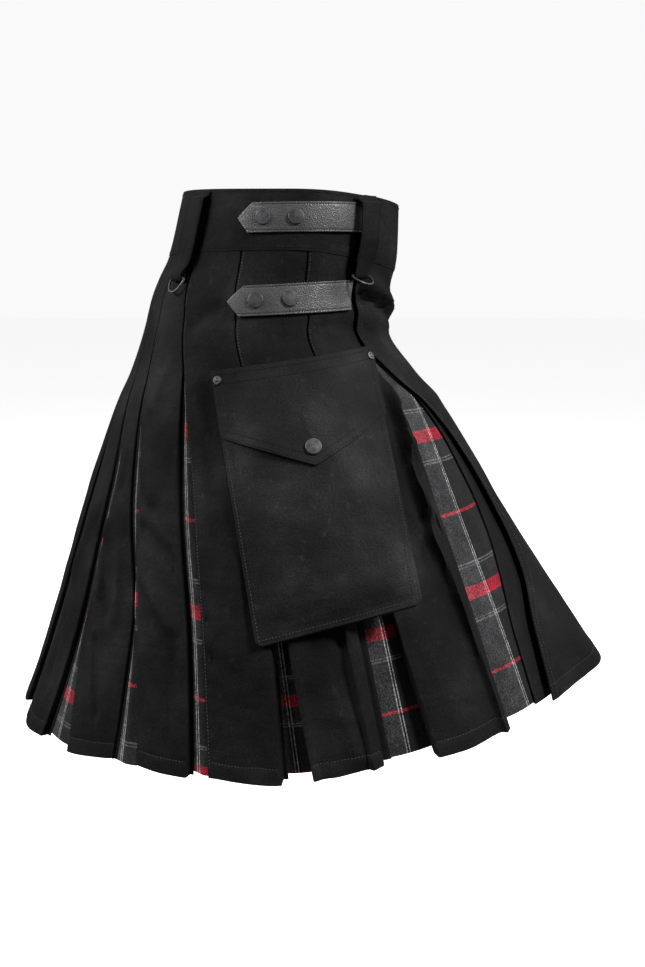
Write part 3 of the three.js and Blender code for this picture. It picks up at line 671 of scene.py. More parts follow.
def panel_row(shape, fall, settings):
    """One row of a panel: its back edge, its face, its front edge and the return behind it."""
    start, end, degrees, fold = shape["edges"](fall)
    width = (end - start) / degrees
    depth = return_depth(fall) * shape["row"]["tuck"]
    lip = FLUSH_LIP if shape["row"]["flush"] else depth + CLOTH + INSET_GAP - SEAM
    turn = min(EDGE_TURN, width / 5)
    inner = min(INNER_TURN, fold / 3)
    step = hem_step(fall, settings)

    def put(offset, inset, hangs=True):
        return panel_place(shape, fall, min(max(offset / width, 0), 1), offset, inset, hangs)

    points = [put(width, max(lip, turn + 0.2)), put(width, lerp(turn, lip, 0.4)),
              put(width, turn), put(width - 0.3 * turn, 0.3 * turn - step)]
    for i in range(settings.columns + 1):
        across = 0.5 + 0.5 * math.cos(math.pi * i / settings.columns)
        offset = turn + (width - 2 * turn) * across
        points.append(put(offset, -panel_relief(shape, fall, offset / width, width, settings)))
    points += [put(0.3 * turn, 0.3 * turn - step), put(0, turn),
               put(0, lerp(turn, depth, 0.5), False), put(0, depth - inner, False),
               put(-0.3 * inner, depth - 0.3 * inner, False), put(-inner, depth, False)]
    for part in (0.3, 0.55, 0.8):
        swell = 0.9 * math.sin(math.pi * part) * min(fold / 8, 1)
        points.append(put(-lerp(inner, fold, part), depth - swell, False))
    points.append(put(-fold, depth, False))
    return points


def side_shapes(side):
    """The shapes of one side's panels, and the edge in front of each."""
    before = under_edge if side == RIGHT else (lambda fall: -apron_left(fall))
    shapes = []
    for number, row in enumerate(PANELS):
        shape = panel_shape(row, side, number, before)
        shapes.append((shape, before))
        before = shape["back"]
    return shapes, before


def back_face(settings):
    """The face of the centre back panel as a surface of across and fall."""
    def surface(across, fall):
        start = back_edge(fall)
        angle = lerp(start, 360 - start, across)
        width = (360 - 2 * start) / degrees_per_mm(180, fall_height(180, fall))
        raised = BACK_CROWN * smoothstep(fall, *CROWN_FALLS) * math.sin(math.pi * across)
        fade = smoothstep(across, 0, 0.2) * smoothstep(1 - across, 0, 0.2)
        raised += (ripple(across * width, fall * SKIRT_LENGTH, "back") * fade
                   * smoothstep(fall, 0, 0.05))
        return skin(angle, fall_height(angle, fall), -raised - hem_step(fall, settings))
    return surface


def back_row(fall, settings):
    """One row of the centre back panel, with a return along both its edges."""
    start = back_edge(fall)
    degrees = degrees_per_mm(180, fall_height(180, fall))
    depth = return_depth(fall) * BACK_TUCK
    widest = (start - PANELS[5]["back"][0]) / degrees - SEAM
    fold = max(LEAST_FOLD, min(back_fold(fall), widest if fall < 0.3 else math.inf))
    profile = [(fold, depth), (0.5 * fold, depth - 0.4), (0, depth - 0.4), (0, depth / 2),
               (0, 1.4)]

    def put(angle, inset):
        return skin(angle, fall_height(angle, fall), inset)

    surface = back_face(settings)
    edge = [put(start - out * degrees, inset) for out, inset in profile]
    face = [surface(i / settings.columns, fall) for i in range(1, settings.columns)]
    other = [put(360 - start + out * degrees, inset) for out, inset in reversed(profile)]
    return edge + face + other


# Materials

def shade(colour, amount):
    return tuple(channel * amount for channel in colour)


class Finish:
    """A material being made: short ways to add its nodes and join them."""

    def __init__(self, name):
        self.material = bpy.data.materials.new(name)
        self.material.use_nodes = True
        self.nodes = self.material.node_tree.nodes
        self.links = self.material.node_tree.links
        self.shader = self.nodes["Principled BSDF"]

    def set(self, socket, value):
        self.shader.inputs[socket].default_value = value

    def join(self, output, socket):
        self.links.new(output, self.shader.inputs[socket])

    def coordinates(self, *kinds):
        node = self.nodes.new("ShaderNodeTexCoord")
        return [node.outputs[kind] for kind in kinds]

    def stretched(self, vector, scale):
        node = self.nodes.new("ShaderNodeMapping")
        node.inputs["Scale"].default_value = scale
        self.links.new(vector, node.inputs["Vector"])
        return node.outputs["Vector"]

    def noise(self, vector, scale, detail):
        node = self.nodes.new("ShaderNodeTexNoise")
        node.inputs["Scale"].default_value = scale
        node.inputs["Detail"].default_value = detail
        self.links.new(vector, node.inputs["Vector"])
        return node.outputs["Fac"]

    def ramp(self, value, stops, interpolation="LINEAR"):
        """Colours by a value; a plain number stands for a grey."""
        node = self.nodes.new("ShaderNodeValToRGB")
        ramp = node.color_ramp
        ramp.interpolation = interpolation
        ramp.elements.remove(ramp.elements[1])
        ramp.elements[0].position = stops[0][0]
        for place, _ in stops[1:]:
            ramp.elements.new(place)
        for element, (_, colour) in zip(ramp.elements, stops):
            colour = (colour,) * 3 if isinstance(colour, (int, float)) else colour
            element.color = (*colour, 1)
        self.links.new(value, node.inputs["Fac"])
        return node.outputs["Color"]

    def maths(self, operation, *values):
        """A sum of numbers and nodes' values."""
        node = self.nodes.new("ShaderNodeMath")
        node.operation = operation
        for socket, value in zip(node.inputs, values):
            if isinstance(value, (int, float)):
                socket.default_value = value
            else:
                self.links.new(value, socket)
        return node.outputs[0]

    def blend(self, kind, factor, under, over):
        """Two colours laid over each other, by a number or a node's value."""
        node = self.nodes.new("ShaderNodeMix")
        node.data_type = "RGBA"
        node.blend_type = kind
        if isinstance(factor, (int, float)):
            node.inputs[0].default_value = factor
        else:
            self.links.new(factor, node.inputs[0])
        self.links.new(under, node.inputs[6])
        self.links.new(over, node.inputs[7])
        return node.outputs[2]

    def bumps(self, *layers):
        """Bumps laid over each other: each a height, a strength and a depth in metres."""
        normal = None
        for height, strength, depth in layers:
            node = self.nodes.new("ShaderNodeBump")
            node.inputs["Strength"].default_value = strength
            node.inputs["Distance"].default_value = depth
            self.links.new(height, node.inputs["Height"])
            if normal:
                self.links.new(normal, node.inputs["Normal"])
            normal = node.outputs["Normal"]
        self.join(normal, "Normal")

    def twill(self, uv, pitch):
        """The diagonal ribs of a twill, and the cloth's own UVs apart."""
        node = self.nodes.new("ShaderNodeSeparateXYZ")
        self.links.new(uv, node.inputs[0])
        across, down = node.outputs["X"], node.outputs["Y"]
        diagonal = self.maths("ADD", across, down)
        ribs = self.maths("SINE", self.maths("MULTIPLY", diagonal, 2 * math.pi / pitch))
        return ribs, across, down


def drill_material(name, colours, lift):
    """Black cotton drill, with twill ribs, faded patches, uneven yarns and lint."""
    finish = Finish(name)
    place, uv = finish.coordinates("Object", "UV")
    black = shade(colours.drill, lift)
    patches = finish.noise(place, scale=14, detail=5)
    faded = finish.ramp(patches, [(0.30, shade(black, 0.62)), (0.52, black),
                                  (0.72, shade(black, 1.9))])
    wear = finish.noise(place, scale=90, detail=6)
    lint = finish.ramp(wear, [(0.62, 0), (0.8, shade(black, 1.8))])
    dusty = finish.blend("ADD", 0.6, faded, lint)
    streaks = finish.stretched(uv, (0.5, 2.2, 1))
    yarn = finish.noise(streaks, scale=850, detail=2)
    yarns = finish.ramp(yarn, [(0.32, 0.5), (0.5, 1.0), (0.68, 1.75)])
    finish.join(finish.blend("MULTIPLY", 1.0, dusty, yarns), "Base Color")
    finish.join(finish.ramp(patches, [(0.3, 0.78), (0.7, 0.62)]), "Roughness")
    finish.set("Specular IOR Level", 0.07)
    ribs, _, _ = finish.twill(uv, DRILL_PITCH)
    slubs = finish.noise(streaks, scale=300, detail=3)
    crumple = finish.noise(place, scale=38, detail=6)
    wrinkle = finish.noise(streaks, scale=40, detail=3)
    finish.bumps((ribs, 0.18, 0.0002), (slubs, 0.5, 0.0006), (crumple, 0.8, 0.0032),
                 (wrinkle, 0.32, 0.0025))
    return finish.material


def check_material(name, colours, lift):
    """Checked wool: weft bars down the strip and warp lines along it, woven as a twill."""
    finish = Finish(name)
    place, uv = finish.coordinates("Object", "UV")
    red, grey, white = (shade(colour, lift) for colour in (colours.red, colours.grey,
                                                           colours.white))
    black, soft, pale = CHECK_BLACK, shade(grey, 0.4), shade(white, 0.3)
    ribs, across, down = finish.twill(uv, WOOL_PITCH)
    repeats = finish.maths("DIVIDE", down, CHECK_REPEAT * MM)
    weft_place = finish.maths("FRACT", finish.maths("ADD", repeats, 0.5))
    weft = finish.ramp(weft_place, [
        (0.0, red), (0.010, black), (0.320, pale), (0.329, black), (0.336, pale),
        (0.345, soft), (0.458, red), (0.542, soft), (0.655, pale), (0.664, black),
        (0.671, pale), (0.680, black), (0.990, red)], "CONSTANT")
    warp_place = finish.maths("ADD", finish.maths("MULTIPLY", across, 10), 0.5)
    warp = finish.ramp(warp_place, [
        (0.0, black), (0.484, white), (0.495, black), (0.513, white), (0.524, grey),
        (0.92, black)], "CONSTANT")
    over = finish.maths("ADD", finish.maths("MULTIPLY", ribs, 0.2), 0.5)
    woven = finish.blend("MIX", over, warp, weft)
    uneven = finish.noise(place, scale=60, detail=5)
    dull = finish.ramp(uneven, [(0.3, 0.52), (0.7, 1.15)])
    fuzz = finish.noise(place, scale=620, detail=2)
    heather = finish.ramp(fuzz, [(0.36, 0.30), (0.5, 0.95), (0.64, 1.75)])
    tinted = finish.blend("MULTIPLY", 1.0, woven, dull)
    finish.join(finish.blend("MULTIPLY", 0.85, tinted, heather), "Base Color")
    finish.bumps((ribs, 0.4, 0.0003), (fuzz, 0.4, 0.0005))
    finish.set("Roughness", 0.92)
    finish.set("Specular IOR Level", 0.12)
    finish.set("Sheen Weight", 0.12)
    return finish.material


def leather_material(name, colours, lift):
    """Black harness leather with a pebbled grain and polished high spots; its grey base colour
    is partly its own tone and partly painted sheen.
    """
    finish = Finish(name)
    place, = finish.coordinates("Object")
    # The lifted grey of the leather colour is partly the leather's own tone and partly painted
    # sheen
    leather = shade(colours.leather, lift)
    grain = finish.nodes.new("ShaderNodeTexVoronoi")
    grain.feature = "SMOOTH_F1"
    grain.inputs["Scale"].default_value = 780
    finish.links.new(place, grain.inputs["Vector"])
    wear = finish.noise(place, scale=45, detail=6)
    finish.join(finish.ramp(wear, [(0.3, shade(leather, 0.7)), (0.75, shade(leather, 1.7))]),
                "Base Color")
    finish.join(finish.ramp(wear, [(0.3, 0.52), (0.7, 0.36)]), "Roughness")
    finish.bumps((grain.outputs["Distance"], 0.8, 0.0006), (wear, 0.35, 0.0012))
    finish.set("Specular IOR Level", 0.5)
    return finish.material


def gunmetal_material(name, colours, lift):
    """Dark plated metal, rubbed brighter in patches."""
    finish = Finish(name)
    place, = finish.coordinates("Object")
    metal = shade(colours.metal, lift)
    rubbed = finish.noise(place, scale=160, detail=6)
    finish.join(finish.ramp(rubbed, [(0.35, shade(metal, 0.7)), (0.7, shade(metal, 1.5))]),
                "Base Color")
    finish.join(finish.ramp(rubbed, [(0.3, 0.66), (0.7, 0.50)]), "Roughness")
    finish.bumps((finish.noise(place, scale=900, detail=2), 0.15, 0.0002))
    finish.set("Metallic", 1)
    return finish.material


def thread_material(name, colours, lift):
    """Waxed thread: faded where it is rubbed, black where it isn't."""
    finish = Finish(name)
    place, = finish.coordinates("Object")
    twist = finish.noise(place, scale=300, detail=3)
    thread = colours.thread_colour
    finish.join(finish.ramp(twist, [(0.3, shade(thread, 0.6 * lift)),
                                    (0.7, shade(thread, 1.5 * lift))]), "Base Color")
    finish.bumps((twist, 0.3, 0.0002))
    finish.set("Roughness", 0.65)
    finish.set("Specular IOR Level", 0.2)
    return finish.material


# Each finish: what makes it, and how light it is beside its plain colour
FINISHES = {
    "cotton_drill": (drill_material, 1), "pocket_drill": (drill_material, 1.75),
    "woven_check": (check_material, 1), "strap_leather": (leather_material, 1),
    "dark_plate": (gunmetal_material, 1), "thread": (thread_material, 1),
    "black_thread": (thread_material, 0.15),
}


def finish_of(name):
    """A finish by its material name, made when it is first wanted."""
    make, lift = FINISHES[name]
    return bpy.data.materials.get(name) or make(name, bpy.context.scene.kilt_colours, lift)


# What a user would change

class KiltCloth(bpy.types.PropertyGroup):
    drill: FloatProperty(name="Drill thickness", description="Thickness of the black cotton",
                         default=CLOTH * MM, min=0.0005, max=0.003, unit="LENGTH")
    wool: FloatProperty(name="Wool thickness", description="Thickness of the checked wool",
                        default=CLOTH * MM, min=0.0005, max=0.003, unit="LENGTH")
    hem_turn: FloatProperty(name="Hem turn-up", description="Height of the turned hem",
                            default=0.013, min=0.005, max=0.03, unit="LENGTH")
    fold_strength: FloatProperty(name="Fold strength", description="Scale of creases",
                                 default=1.0, min=0, max=2)
    columns: IntProperty(name="Columns", description="Points across a panel's face",
                         default=40, min=8, max=60)
    rows: IntProperty(name="Rows", description="Rows of points down the skirt",
                      default=84, min=20, max=160)
    stitch_pitch: FloatProperty(name="Stitch pitch", description="From stitch to stitch",
                                default=0.0034, min=0.002, max=0.008, unit="LENGTH")
    stitch_length: FloatProperty(name="Stitch length", description="Length of a stitch",
                                 default=0.0026, min=0.001, max=0.006, unit="LENGTH")
    thread: FloatProperty(name="Thread radius", description="Half the thread's thickness",
                          default=0.00042, min=0.0001, max=0.001, unit="LENGTH")


class KiltColours(bpy.types.PropertyGroup):
    drill: FloatVectorProperty(name="Drill", description="Black cotton drill", size=3,
                               subtype="COLOR", default=(0.0085, 0.0085, 0.0090), min=0, max=1)
    red: FloatVectorProperty(name="Red", description="Red of the check", size=3,
                             subtype="COLOR", default=(0.62, 0.014, 0.045), min=0, max=1)
    grey: FloatVectorProperty(name="Grey", description="Grey of the check", size=3,
                              subtype="COLOR", default=(0.078, 0.077, 0.081), min=0, max=1)
    white: FloatVectorProperty(name="White", description="White of the check", size=3,
                               subtype="COLOR", default=(0.62, 0.62, 0.63), min=0, max=1)
    # The leather's grey default is partly its own tone and partly painted sheen
    leather: FloatVectorProperty(name="Leather", description="Strap leather", size=3,
                                 subtype="COLOR", default=(0.055, 0.055, 0.056), min=0, max=1)
    metal: FloatVectorProperty(name="Metal", description="Snaps, rivets and rings", size=3,
                               subtype="COLOR", default=(0.10, 0.10, 0.104), min=0, max=1)
    thread_colour: FloatVectorProperty(name="Thread", description="Stitching thread", size=3,
                                       subtype="COLOR", default=(0.055, 0.055, 0.057), min=0,
                                       max=1)


class KiltStage(bpy.types.PropertyGroup):
    floor_height: FloatProperty(name="Floor height", description="Height of the floor",
                                default=-1.02, unit="LENGTH")
    key_power: FloatProperty(name="Key light", description="Power of the key light",
                             default=135, min=0, unit="POWER")
    fill_power: FloatProperty(name="Fill light", description="Power of the fill light",
                              default=34, min=0, unit="POWER")
    lens: FloatProperty(name="Lens", description="Focal length", default=43.8,
                        subtype="DISTANCE_CAMERA")


# The pieces

class KILT_OT_waistband(bpy.types.Operator):
    """Make the waistband: one strip, lapped under the apron at the wearer's right"""

    bl_idname = "kilt.waistband"
    bl_label = "Waistband"

    def execute(self, context):
        settings = context.scene.kilt_cloth
        start = apron_edge(0)
        travel = BAND_END + start - 2 * UNDER_SHORT

        def surface(part, up):
            angle = start - travel * part
            sink = BAND_LAP * smoothstep(-angle, 360 - LAP_ANGLES[1], 360 - LAP_ANGLES[0])
            low, high = level(BAND_SEAM, angle), level(BAND_TOP, angle)
            z = lerp(low - 0.8 * (1 - up), high, up)
            ease = ripple(part * BAND_LENGTH, up * BAND_HEIGHT, "band")
            return skin(angle, z, sink - BAND_PROUD - ease * math.sin(math.pi * up))

        ups = [1, 0.985, 0.96, 0.9, 0.78, 0.66, 0.54, 0.42, 0.3, 0.18, 0.08, 0.03, 0.01, 0]
        rows = [[surface(part, up) for part in steps(230)] for up in ups]
        obj, cut = cloth_sheet("waistband_cloth", rows, finish_of("cotton_drill"),
                               BAND_THICK, bevel=0.7)
        dress(obj, "waistband", cut)
        shown = [part for part in steps(600) if travel * part < BAND_STITCHED]
        lines = [line_on(surface, [(part, up) for part in shown]) for up in (0.05, 0.95)]
        stitching("stitching_waistband", lines, settings, finish_of("black_thread"))
        return {"FINISHED"}


def apron_width(fall):
    """Width in mm from the apron's left edge to its free one."""
    return (apron_edge(fall) + apron_left(fall)) / degrees_per_mm(0, fall_height(0, fall))


def apron_face(settings):
    """The apron's face as a surface of across and fall."""
    flare = APRON_FLARE

    def surface(across, fall):
        angle = lerp(-apron_left(fall), apron_edge(fall), across)
        width = apron_width(fall)
        fade = (smoothstep((1 - across) * width, 0, 8) * smoothstep(across * width, 0, 12)
                * smoothstep(fall, 0, 0.03))
        raised = crease_height(CREASES["apron"], across, fall, width, APRON_LENGTH)
        raised += ripple(across * width, fall * APRON_LENGTH, "apron")
        raised += (flare["height"] * smoothstep(fall, *flare["falls"])
                   * math.exp(-((angle - flare["angle"]) / flare["reach"]) ** 2))
        return skin(angle, fall_height(angle, fall),
                    -raised * fade * settings.fold_strength - hem_step(fall, settings))

    return surface


class KILT_OT_aprons(bpy.types.Operator):
    """Make the apron and the under apron behind it"""

    bl_idname = "kilt.aprons"
    bl_label = "Aprons"

    def execute(self, context):
        settings = context.scene.kilt_cloth
        self.make_apron(settings)
        self.make_under_apron(settings)
        return {"FINISHED"}

    def make_apron(self, settings):
        surface = apron_face(settings)
        rows = []
        for fall in fall_rows(settings):
            left, right = -apron_left(fall), apron_edge(fall)
            turned = return_depth(fall) + CLOTH + INSET_GAP - SEAM
            step = degrees_per_mm(right, fall_height(right, fall))
            row = [skin(left, fall_height(left, fall), inset)
                   for inset in (turned, turned * 0.6, 1.6)]
            row += [surface(across, fall) for across in steps(APRON_COLUMNS)]
            row += [skin(right + 0.5 * step, fall_height(right, fall), 0.9)]
            rows.append(row)
        obj, cut = cloth_sheet("apron_cloth", rows, finish_of("cotton_drill"), APRON_THICK)
        dress(obj, "apron", cut)
        falls = steps(300, 0.1, 0.997)
        lines = [line_on(surface, [(1 - inward / apron_width(fall), fall) for fall in falls])
                 for inward in (STITCH_INSET, SECOND_ROW)]
        hem = 1 - hem_share(settings)
        lines.append(line_on(surface, [(across, hem) for across in steps(200)[2:-3]]))
        stitching("stitching_apron", lines, settings, finish_of("thread"))

    def make_under_apron(self, settings):
        rows = []
        for fall in fall_rows(settings):
            left, right = -(apron_left(fall) - UNDER_SHORT), under_edge(fall)
            span = right + apron_left(fall)
            width = span / degrees_per_mm(0, fall_height(0, fall))
            turned = check_depth(right, fall) - SEAM
            depth = under_depth(fall) + BAND_LAP * (1 - smoothstep(fall, *LAP_FALLS))
            row = []
            for i, angle in enumerate(steps(UNDER_COLUMNS, left, right)):
                from_edge = UNDER_COLUMNS - i
                soft = ripple(i * 12, fall * APRON_LENGTH, "under_apron")
                dent = crease_height(CREASES["apron"][1:2], (angle + apron_left(fall)) / span,
                                     fall, width, APRON_LENGTH)
                soft = soft * smoothstep(from_edge, 0, 5) + dent * smoothstep(from_edge, 0, 3)
                row.append(skin(angle, fall_height(angle, fall),
                                depth - soft - hem_step(fall, settings)))
            row += [skin(right, fall_height(right, fall), lerp(depth, turned, part))
                    for part in (0.5, 1)]
            rows.append(row)
        obj, cut = cloth_sheet("under_apron_cloth", rows, finish_of("cotton_drill"), CLOTH)
        dress(obj, "under_apron", cut)


class KILT_OT_pleat_panels(bpy.types.Operator):
    """Make the thirteen black pleat panels"""

    bl_idname = "kilt.pleat_panels"
    bl_label = "Pleat panels"

    def execute(self, context):
        settings = context.scene.kilt_cloth
        falls = fall_rows(settings)
        material = finish_of("cotton_drill")
        thickness = settings.drill / MM
        for side, label in SIDES:
            shapes, _ = side_shapes(side)
            lines = []
            for shape, _ in shapes:
                name = f"panel_{label}_{shape['number'] + 1}"
                rows = [panel_row(shape, fall, settings) for fall in falls]
                obj, cut = cloth_sheet(f"{name}_cloth", rows, material, thickness)
                dress(obj, name, cut)
                surface = panel_face(shape, settings)
                lines.append(hem_line(surface, settings))
                lines.append(self.edge_line(shape, surface))
            stitching(f"stitching_panels_{label}", lines, settings, finish_of("thread"))
        rows = [back_row(fall, settings) for fall in falls]
        obj, cut = cloth_sheet("panel_back_cloth", rows, material, thickness)
        dress(obj, "panel_back", cut)
        stitching("stitching_panel_back", [hem_line(back_face(settings), settings)], settings,
                  finish_of("thread"))
        return {"FINISHED"}

    def edge_line(self, shape, surface):
        """Stitches down the back edge: to the hip, or to the hem where the wool is flush."""
        end = 0.985 if shape["row"]["flush"] else HIP_STITCHES
        places = []
        for fall in steps(200, 0.004, end):
            first, last, degrees, _ = shape["edges"](fall)
            places.append((1 - STITCH_INSET * degrees / (last - first), fall))
        return line_on(surface, places)


class KILT_OT_check_insets(bpy.types.Operator):
    """Make the fourteen checked wool insets between the panels"""

    bl_idname = "kilt.check_insets"
    bl_label = "Check insets"

    def execute(self, context):
        settings = context.scene.kilt_cloth
        for side, label in SIDES:
            shapes, last = side_shapes(side)
            edges = [(before, shape["front"]) for shape, before in shapes]
            edges.append((last, lambda fall, side=side: back_edge(fall) * side))
            for number, (start, end) in enumerate(edges):
                node = f"check_inset_{label}_{number + 1}"
                self.make_inset(node, number, side, start, end, settings)
        return {"FINISHED"}

    def make_inset(self, node, number, side, start, end, settings):
        """One inset, from its front edge to its back one, with a lap behind both."""
        flush = number > 0 and PANELS[number - 1]["flush"]
        tuck = PANELS[number]["tuck"] if number < len(PANELS) else BACK_TUCK
        rows, uvs = [], []
        for fall in fall_rows(settings):
            first, last = start(fall) * side, end(fall) * side
            degrees = degrees_per_mm(first, fall_height(first, fall))
            lap = LAP * degrees
            down = straight_curve(*CHECK_BARS[number], fall) * CHECK_REPEAT
            row = []
            for i, angle in enumerate(steps(INSET_COLUMNS, first - lap, last + lap)):
                depth = check_depth(angle * side, fall, tuck)
                if flush:
                    slope = smoothstep(angle, first + 1.5 * degrees,
                                       max(last - 2 * degrees, first + 4 * degrees))
                    depth = lerp(FLUSH_DEPTH + sunk(angle * side, fall), depth, slope)
                else:
                    sag = ripple(i * 5, fall * SKIRT_LENGTH, "inset", number * side)
                    depth += max(sag, -0.3)
                swell = ((SWELL_FLUSH if flush else SWELL_FREE)
                         * math.sin(math.pi * i / INSET_COLUMNS) * smoothstep(fall, 0.3, 0.5))
                row.append(skin(angle * side, fall_height(angle, fall) + 1.0 * fall,
                                depth - swell))
                across = (angle - (first + last) / 2) / degrees
                if number < len(WARP_LINE):
                    across = (angle - last) / degrees + WARP_LINE[number]
                uvs.append((across * MM, down * MM))
            rows.append(row)
        obj, cut = cloth_sheet(f"{node}_cloth", rows, finish_of("woven_check"),
                               settings.wool / MM, uvs=uvs)
        dress(obj, node, cut)


class KILT_OT_belt_loops(bpy.types.Operator):
    """Make the four belt loops that stand off the waistband"""

    bl_idname = "kilt.belt_loops"
    bl_label = "Belt loops"

    def execute(self, context):
        settings = context.scene.kilt_cloth
        lines = []
        for side, label in SIDES:
            for loop in LOOPS:
                surface = self.loop_surface(loop, side)
                rows = [[surface(across, part) for across in steps(14)] for part in steps(46)]
                node = f"belt_loop_{loop['name']}_{label}"
                obj, cut = cloth_sheet(f"{node}_cloth", rows, finish_of("cotton_drill"),
                                       LOOP_THICK, bevel=0.5)
                dress(obj, node, cut)
                for across in (0.09, 0.91):
                    lines.append(line_on(surface, [(across, part)
                                                   for part in steps(80)[1:58]]))
        stitching("stitching_belt_loops", lines, settings, finish_of("black_thread"))
        return {"FINISHED"}

    def loop_surface(self, loop, side):
        """The outer side of a loop as a surface of across and along."""
        angle, bar, top, off = loop["angle"] * side, loop["bar"], loop["top"], loop["off"]
        along, out = frame_at(angle, bar)
        foot = skin(angle, bar)
        reach = RING_WIRE + LOOP_CLEAR + LOOP_THICK
        sewn = SEAM + LOOP_THICK
        profile = [(sewn + 0.6, top), (sewn + 0.8, top - 3), (off, top - 9),
                   (off + 0.9, (top + bar) / 2), (LOOP_BAR + reach + 0.6, bar + 14)]
        for turn in (0, 36, 72, 108, 144, 180):
            swing = math.radians(turn)
            profile.append((LOOP_BAR + reach * math.cos(swing), bar - reach * math.sin(swing)))
        profile.append((LOOP_BAR - reach, bar + 5))
        lengths = [0]
        for a, b in zip(profile, profile[1:]):
            lengths.append(lengths[-1] + math.dist(a, b))
        total = lengths[-1]
        off_at = smooth_curve(lengths, [point[0] for point in profile])
        z_at = smooth_curve(lengths, [point[1] for point in profile])

        def surface(across, part):
            travelled = min(max(part, 0), 1) * total
            z = z_at(travelled)
            spread = smoothstep(z, bar + 3, bar + 13)
            base = Vector((foot.x, foot.y, z)).lerp(skin(angle, z), spread)
            width = lerp(LOOP_TAB, LOOP_WIDTH, smoothstep(z, bar + 6, bar + 18))
            bow = 0.5 * math.sin(math.pi * across) * spread
            return base + out * (off_at(travelled) + bow) + along * (across - 0.5) * width

        return surface


def ring_corner(side, turns):
    """Points round the corner between a ring's bar and its bow."""
    points = []
    for turn in turns:
        swing = math.radians(turn)
        points.append((side * (RING_HALF - RING_CORNER * (1 - math.sin(swing))),
                       RING_CORNER * (1 - math.cos(swing))))
    return points


class KILT_OT_d_rings(bpy.types.Operator):
    """Make the four D-rings of gunmetal wire"""

    bl_idname = "kilt.d_rings"
    bl_label = "D-rings"

    def execute(self, context):
        for side, label in SIDES:
            for loop in LOOPS:
                self.make_ring(loop, side, f"d_ring_{loop['name']}_{label}")
        return {"FINISHED"}

    def make_ring(self, loop, side, node):
        angle, bar = loop["angle"] * side, loop["bar"]
        along, out = frame_at(angle, bar)
        centre = skin(angle, bar) + out * LOOP_BAR
        lean = math.radians(loop["lean"])
        down = out * math.sin(lean) - Vector((0, 0, math.cos(lean)))
        path = [(RING_HALF - RING_CORNER, 0), (0, 0)] + ring_corner(-1, (0, 30, 60))
        for i in range(2, 31):
            turn = math.pi * (1 - i / 32)
            path.append((RING_HALF * math.cos(turn), RING_DROP * math.sin(turn)))
        path += ring_corner(1, (60, 30))
        curve = bpy.data.curves.new(node, "CURVE")
        curve.dimensions = "3D"
        curve.bevel_depth = RING_WIRE * MM
        curve.bevel_resolution = 3
        curve.twist_mode = "Z_UP"
        spline = curve.splines.new("POLY")
        spline.points.add(len(path) - 1)
        spline.use_cyclic_u = True
        for point, (x, y) in zip(spline.points, path):
            place = (centre + along * x + down * y) * MM
            point.co = (*place, 1)
        obj = bpy.data.objects.new(f"{node}_wire", curve)
        bpy.context.scene.collection.objects.link(obj)
        select_only(obj)
        bpy.ops.object.convert(target="MESH")
        obj = bpy.context.object
        obj.data.materials.clear()
        obj.data.materials.append(finish_of("dark_plate"))
        smooth_by_angle(obj, 60)
        dress(obj, node, body=node)


def strap_height(strap, angle):
    """Height of a strap's middle line."""
    part = (angle - strap["root"]) / (strap["tip"] - strap["root"])
    return lerp(strap["z_root"], strap["z_tip"], part)


def strap_lift(angle, side):
    """How far a strap stands off; the right side's ends sink with the lapped band."""
    if side == LEFT:
        return STRAP_LIFT
    dip = BAND_LAP * STRAP_DIP["share"] * (1 - smoothstep(angle, *STRAP_DIP["angles"]))
    return STRAP_LIFT - dip


def strap_surface(strap, side):
    """The outer side of a strap as a surface of along and across."""
    degrees = degrees_per_mm(strap["tip"], strap["z_tip"])

    def surface(along, across):
        edge = 2 * across - 1
        tip = strap["tip"] - abs(edge) ** 1.12 * STRAP_POINT * degrees
        angle = lerp(strap["root"], tip, along)
        z = strap_height(strap, angle) + edge * STRAP_WIDTH / 2
        crown = 0.5 * (1 - edge * edge)
        crown += ripple(along * STRAP_LENGTH, across * STRAP_WIDTH, "strap", side)
        line = (abs(edge) - STRAP_GROOVE["edge"]) / STRAP_GROOVE["reach"]
        crown -= STRAP_GROOVE["depth"] * math.exp(-line ** 2)
        return skin(angle * side, z, -strap_lift(angle, side) - LEATHER - crown)

    return surface


class KILT_OT_straps(bpy.types.Operator):
    """Make the four pointed leather straps"""

    bl_idname = "kilt.straps"
    bl_label = "Leather straps"

    def execute(self, context):
        settings = context.scene.kilt_cloth
        ups = STRAP_ROWS + [0.5] + [1 - up for up in reversed(STRAP_ROWS)]
        lines = []
        for side, label in SIDES:
            for strap in STRAPS:
                surface = strap_surface(strap, side)
                rows = [[surface(along, up) for along in steps(70)] for up in ups]
                node = f"strap_{strap['name']}_{label}"
                obj, cut = cloth_sheet(f"{node}_leather", rows, finish_of("strap_leather"),
                                       LEATHER, bevel=0.6)
                dress(obj, node, cut)
                for edge in (STRAP_STITCHES, 1 - STRAP_STITCHES):
                    lines.append(line_on(surface, [(along, edge)
                                                   for along in steps(240)[4:232]]))
        stitching("stitching_straps", lines, settings, finish_of("black_thread"))
        return {"FINISHED"}


def pocket_point(across, down):
    """A point of the pocket's back sheet, on the wearer's right."""
    angle = lerp(POCKET_TOP_BACK[0], POCKET_TOP_FRONT[0], across)
    top = skin(angle, lerp(POCKET_TOP_BACK[1], POCKET_TOP_FRONT[1], across), -POCKET_OFF)
    point = top.lerp(POCKET_BOTTOM_BACK.lerp(POCKET_BOTTOM_FRONT, across), down)
    point.x -= POCKET_BULGE * math.sin(math.pi * down) * (1 - 0.5 * abs(2 * across - 1))
    return point


def pocket_normal(across, down):
    """The direction out of the right pocket's back sheet."""
    wide = pocket_point(across + 0.01, down) - pocket_point(across - 0.01, down)
    tall = pocket_point(across, down + 0.01) - pocket_point(across, down - 0.01)
    out = wide.cross(tall).normalized()
    return out if out.x < 0 else -out


def on_pocket(across, down, height, side):
    """A point of either pocket, at a height over its back sheet."""
    point = pocket_point(across, down) + pocket_normal(across, down) * height
    point.x *= side
    return point


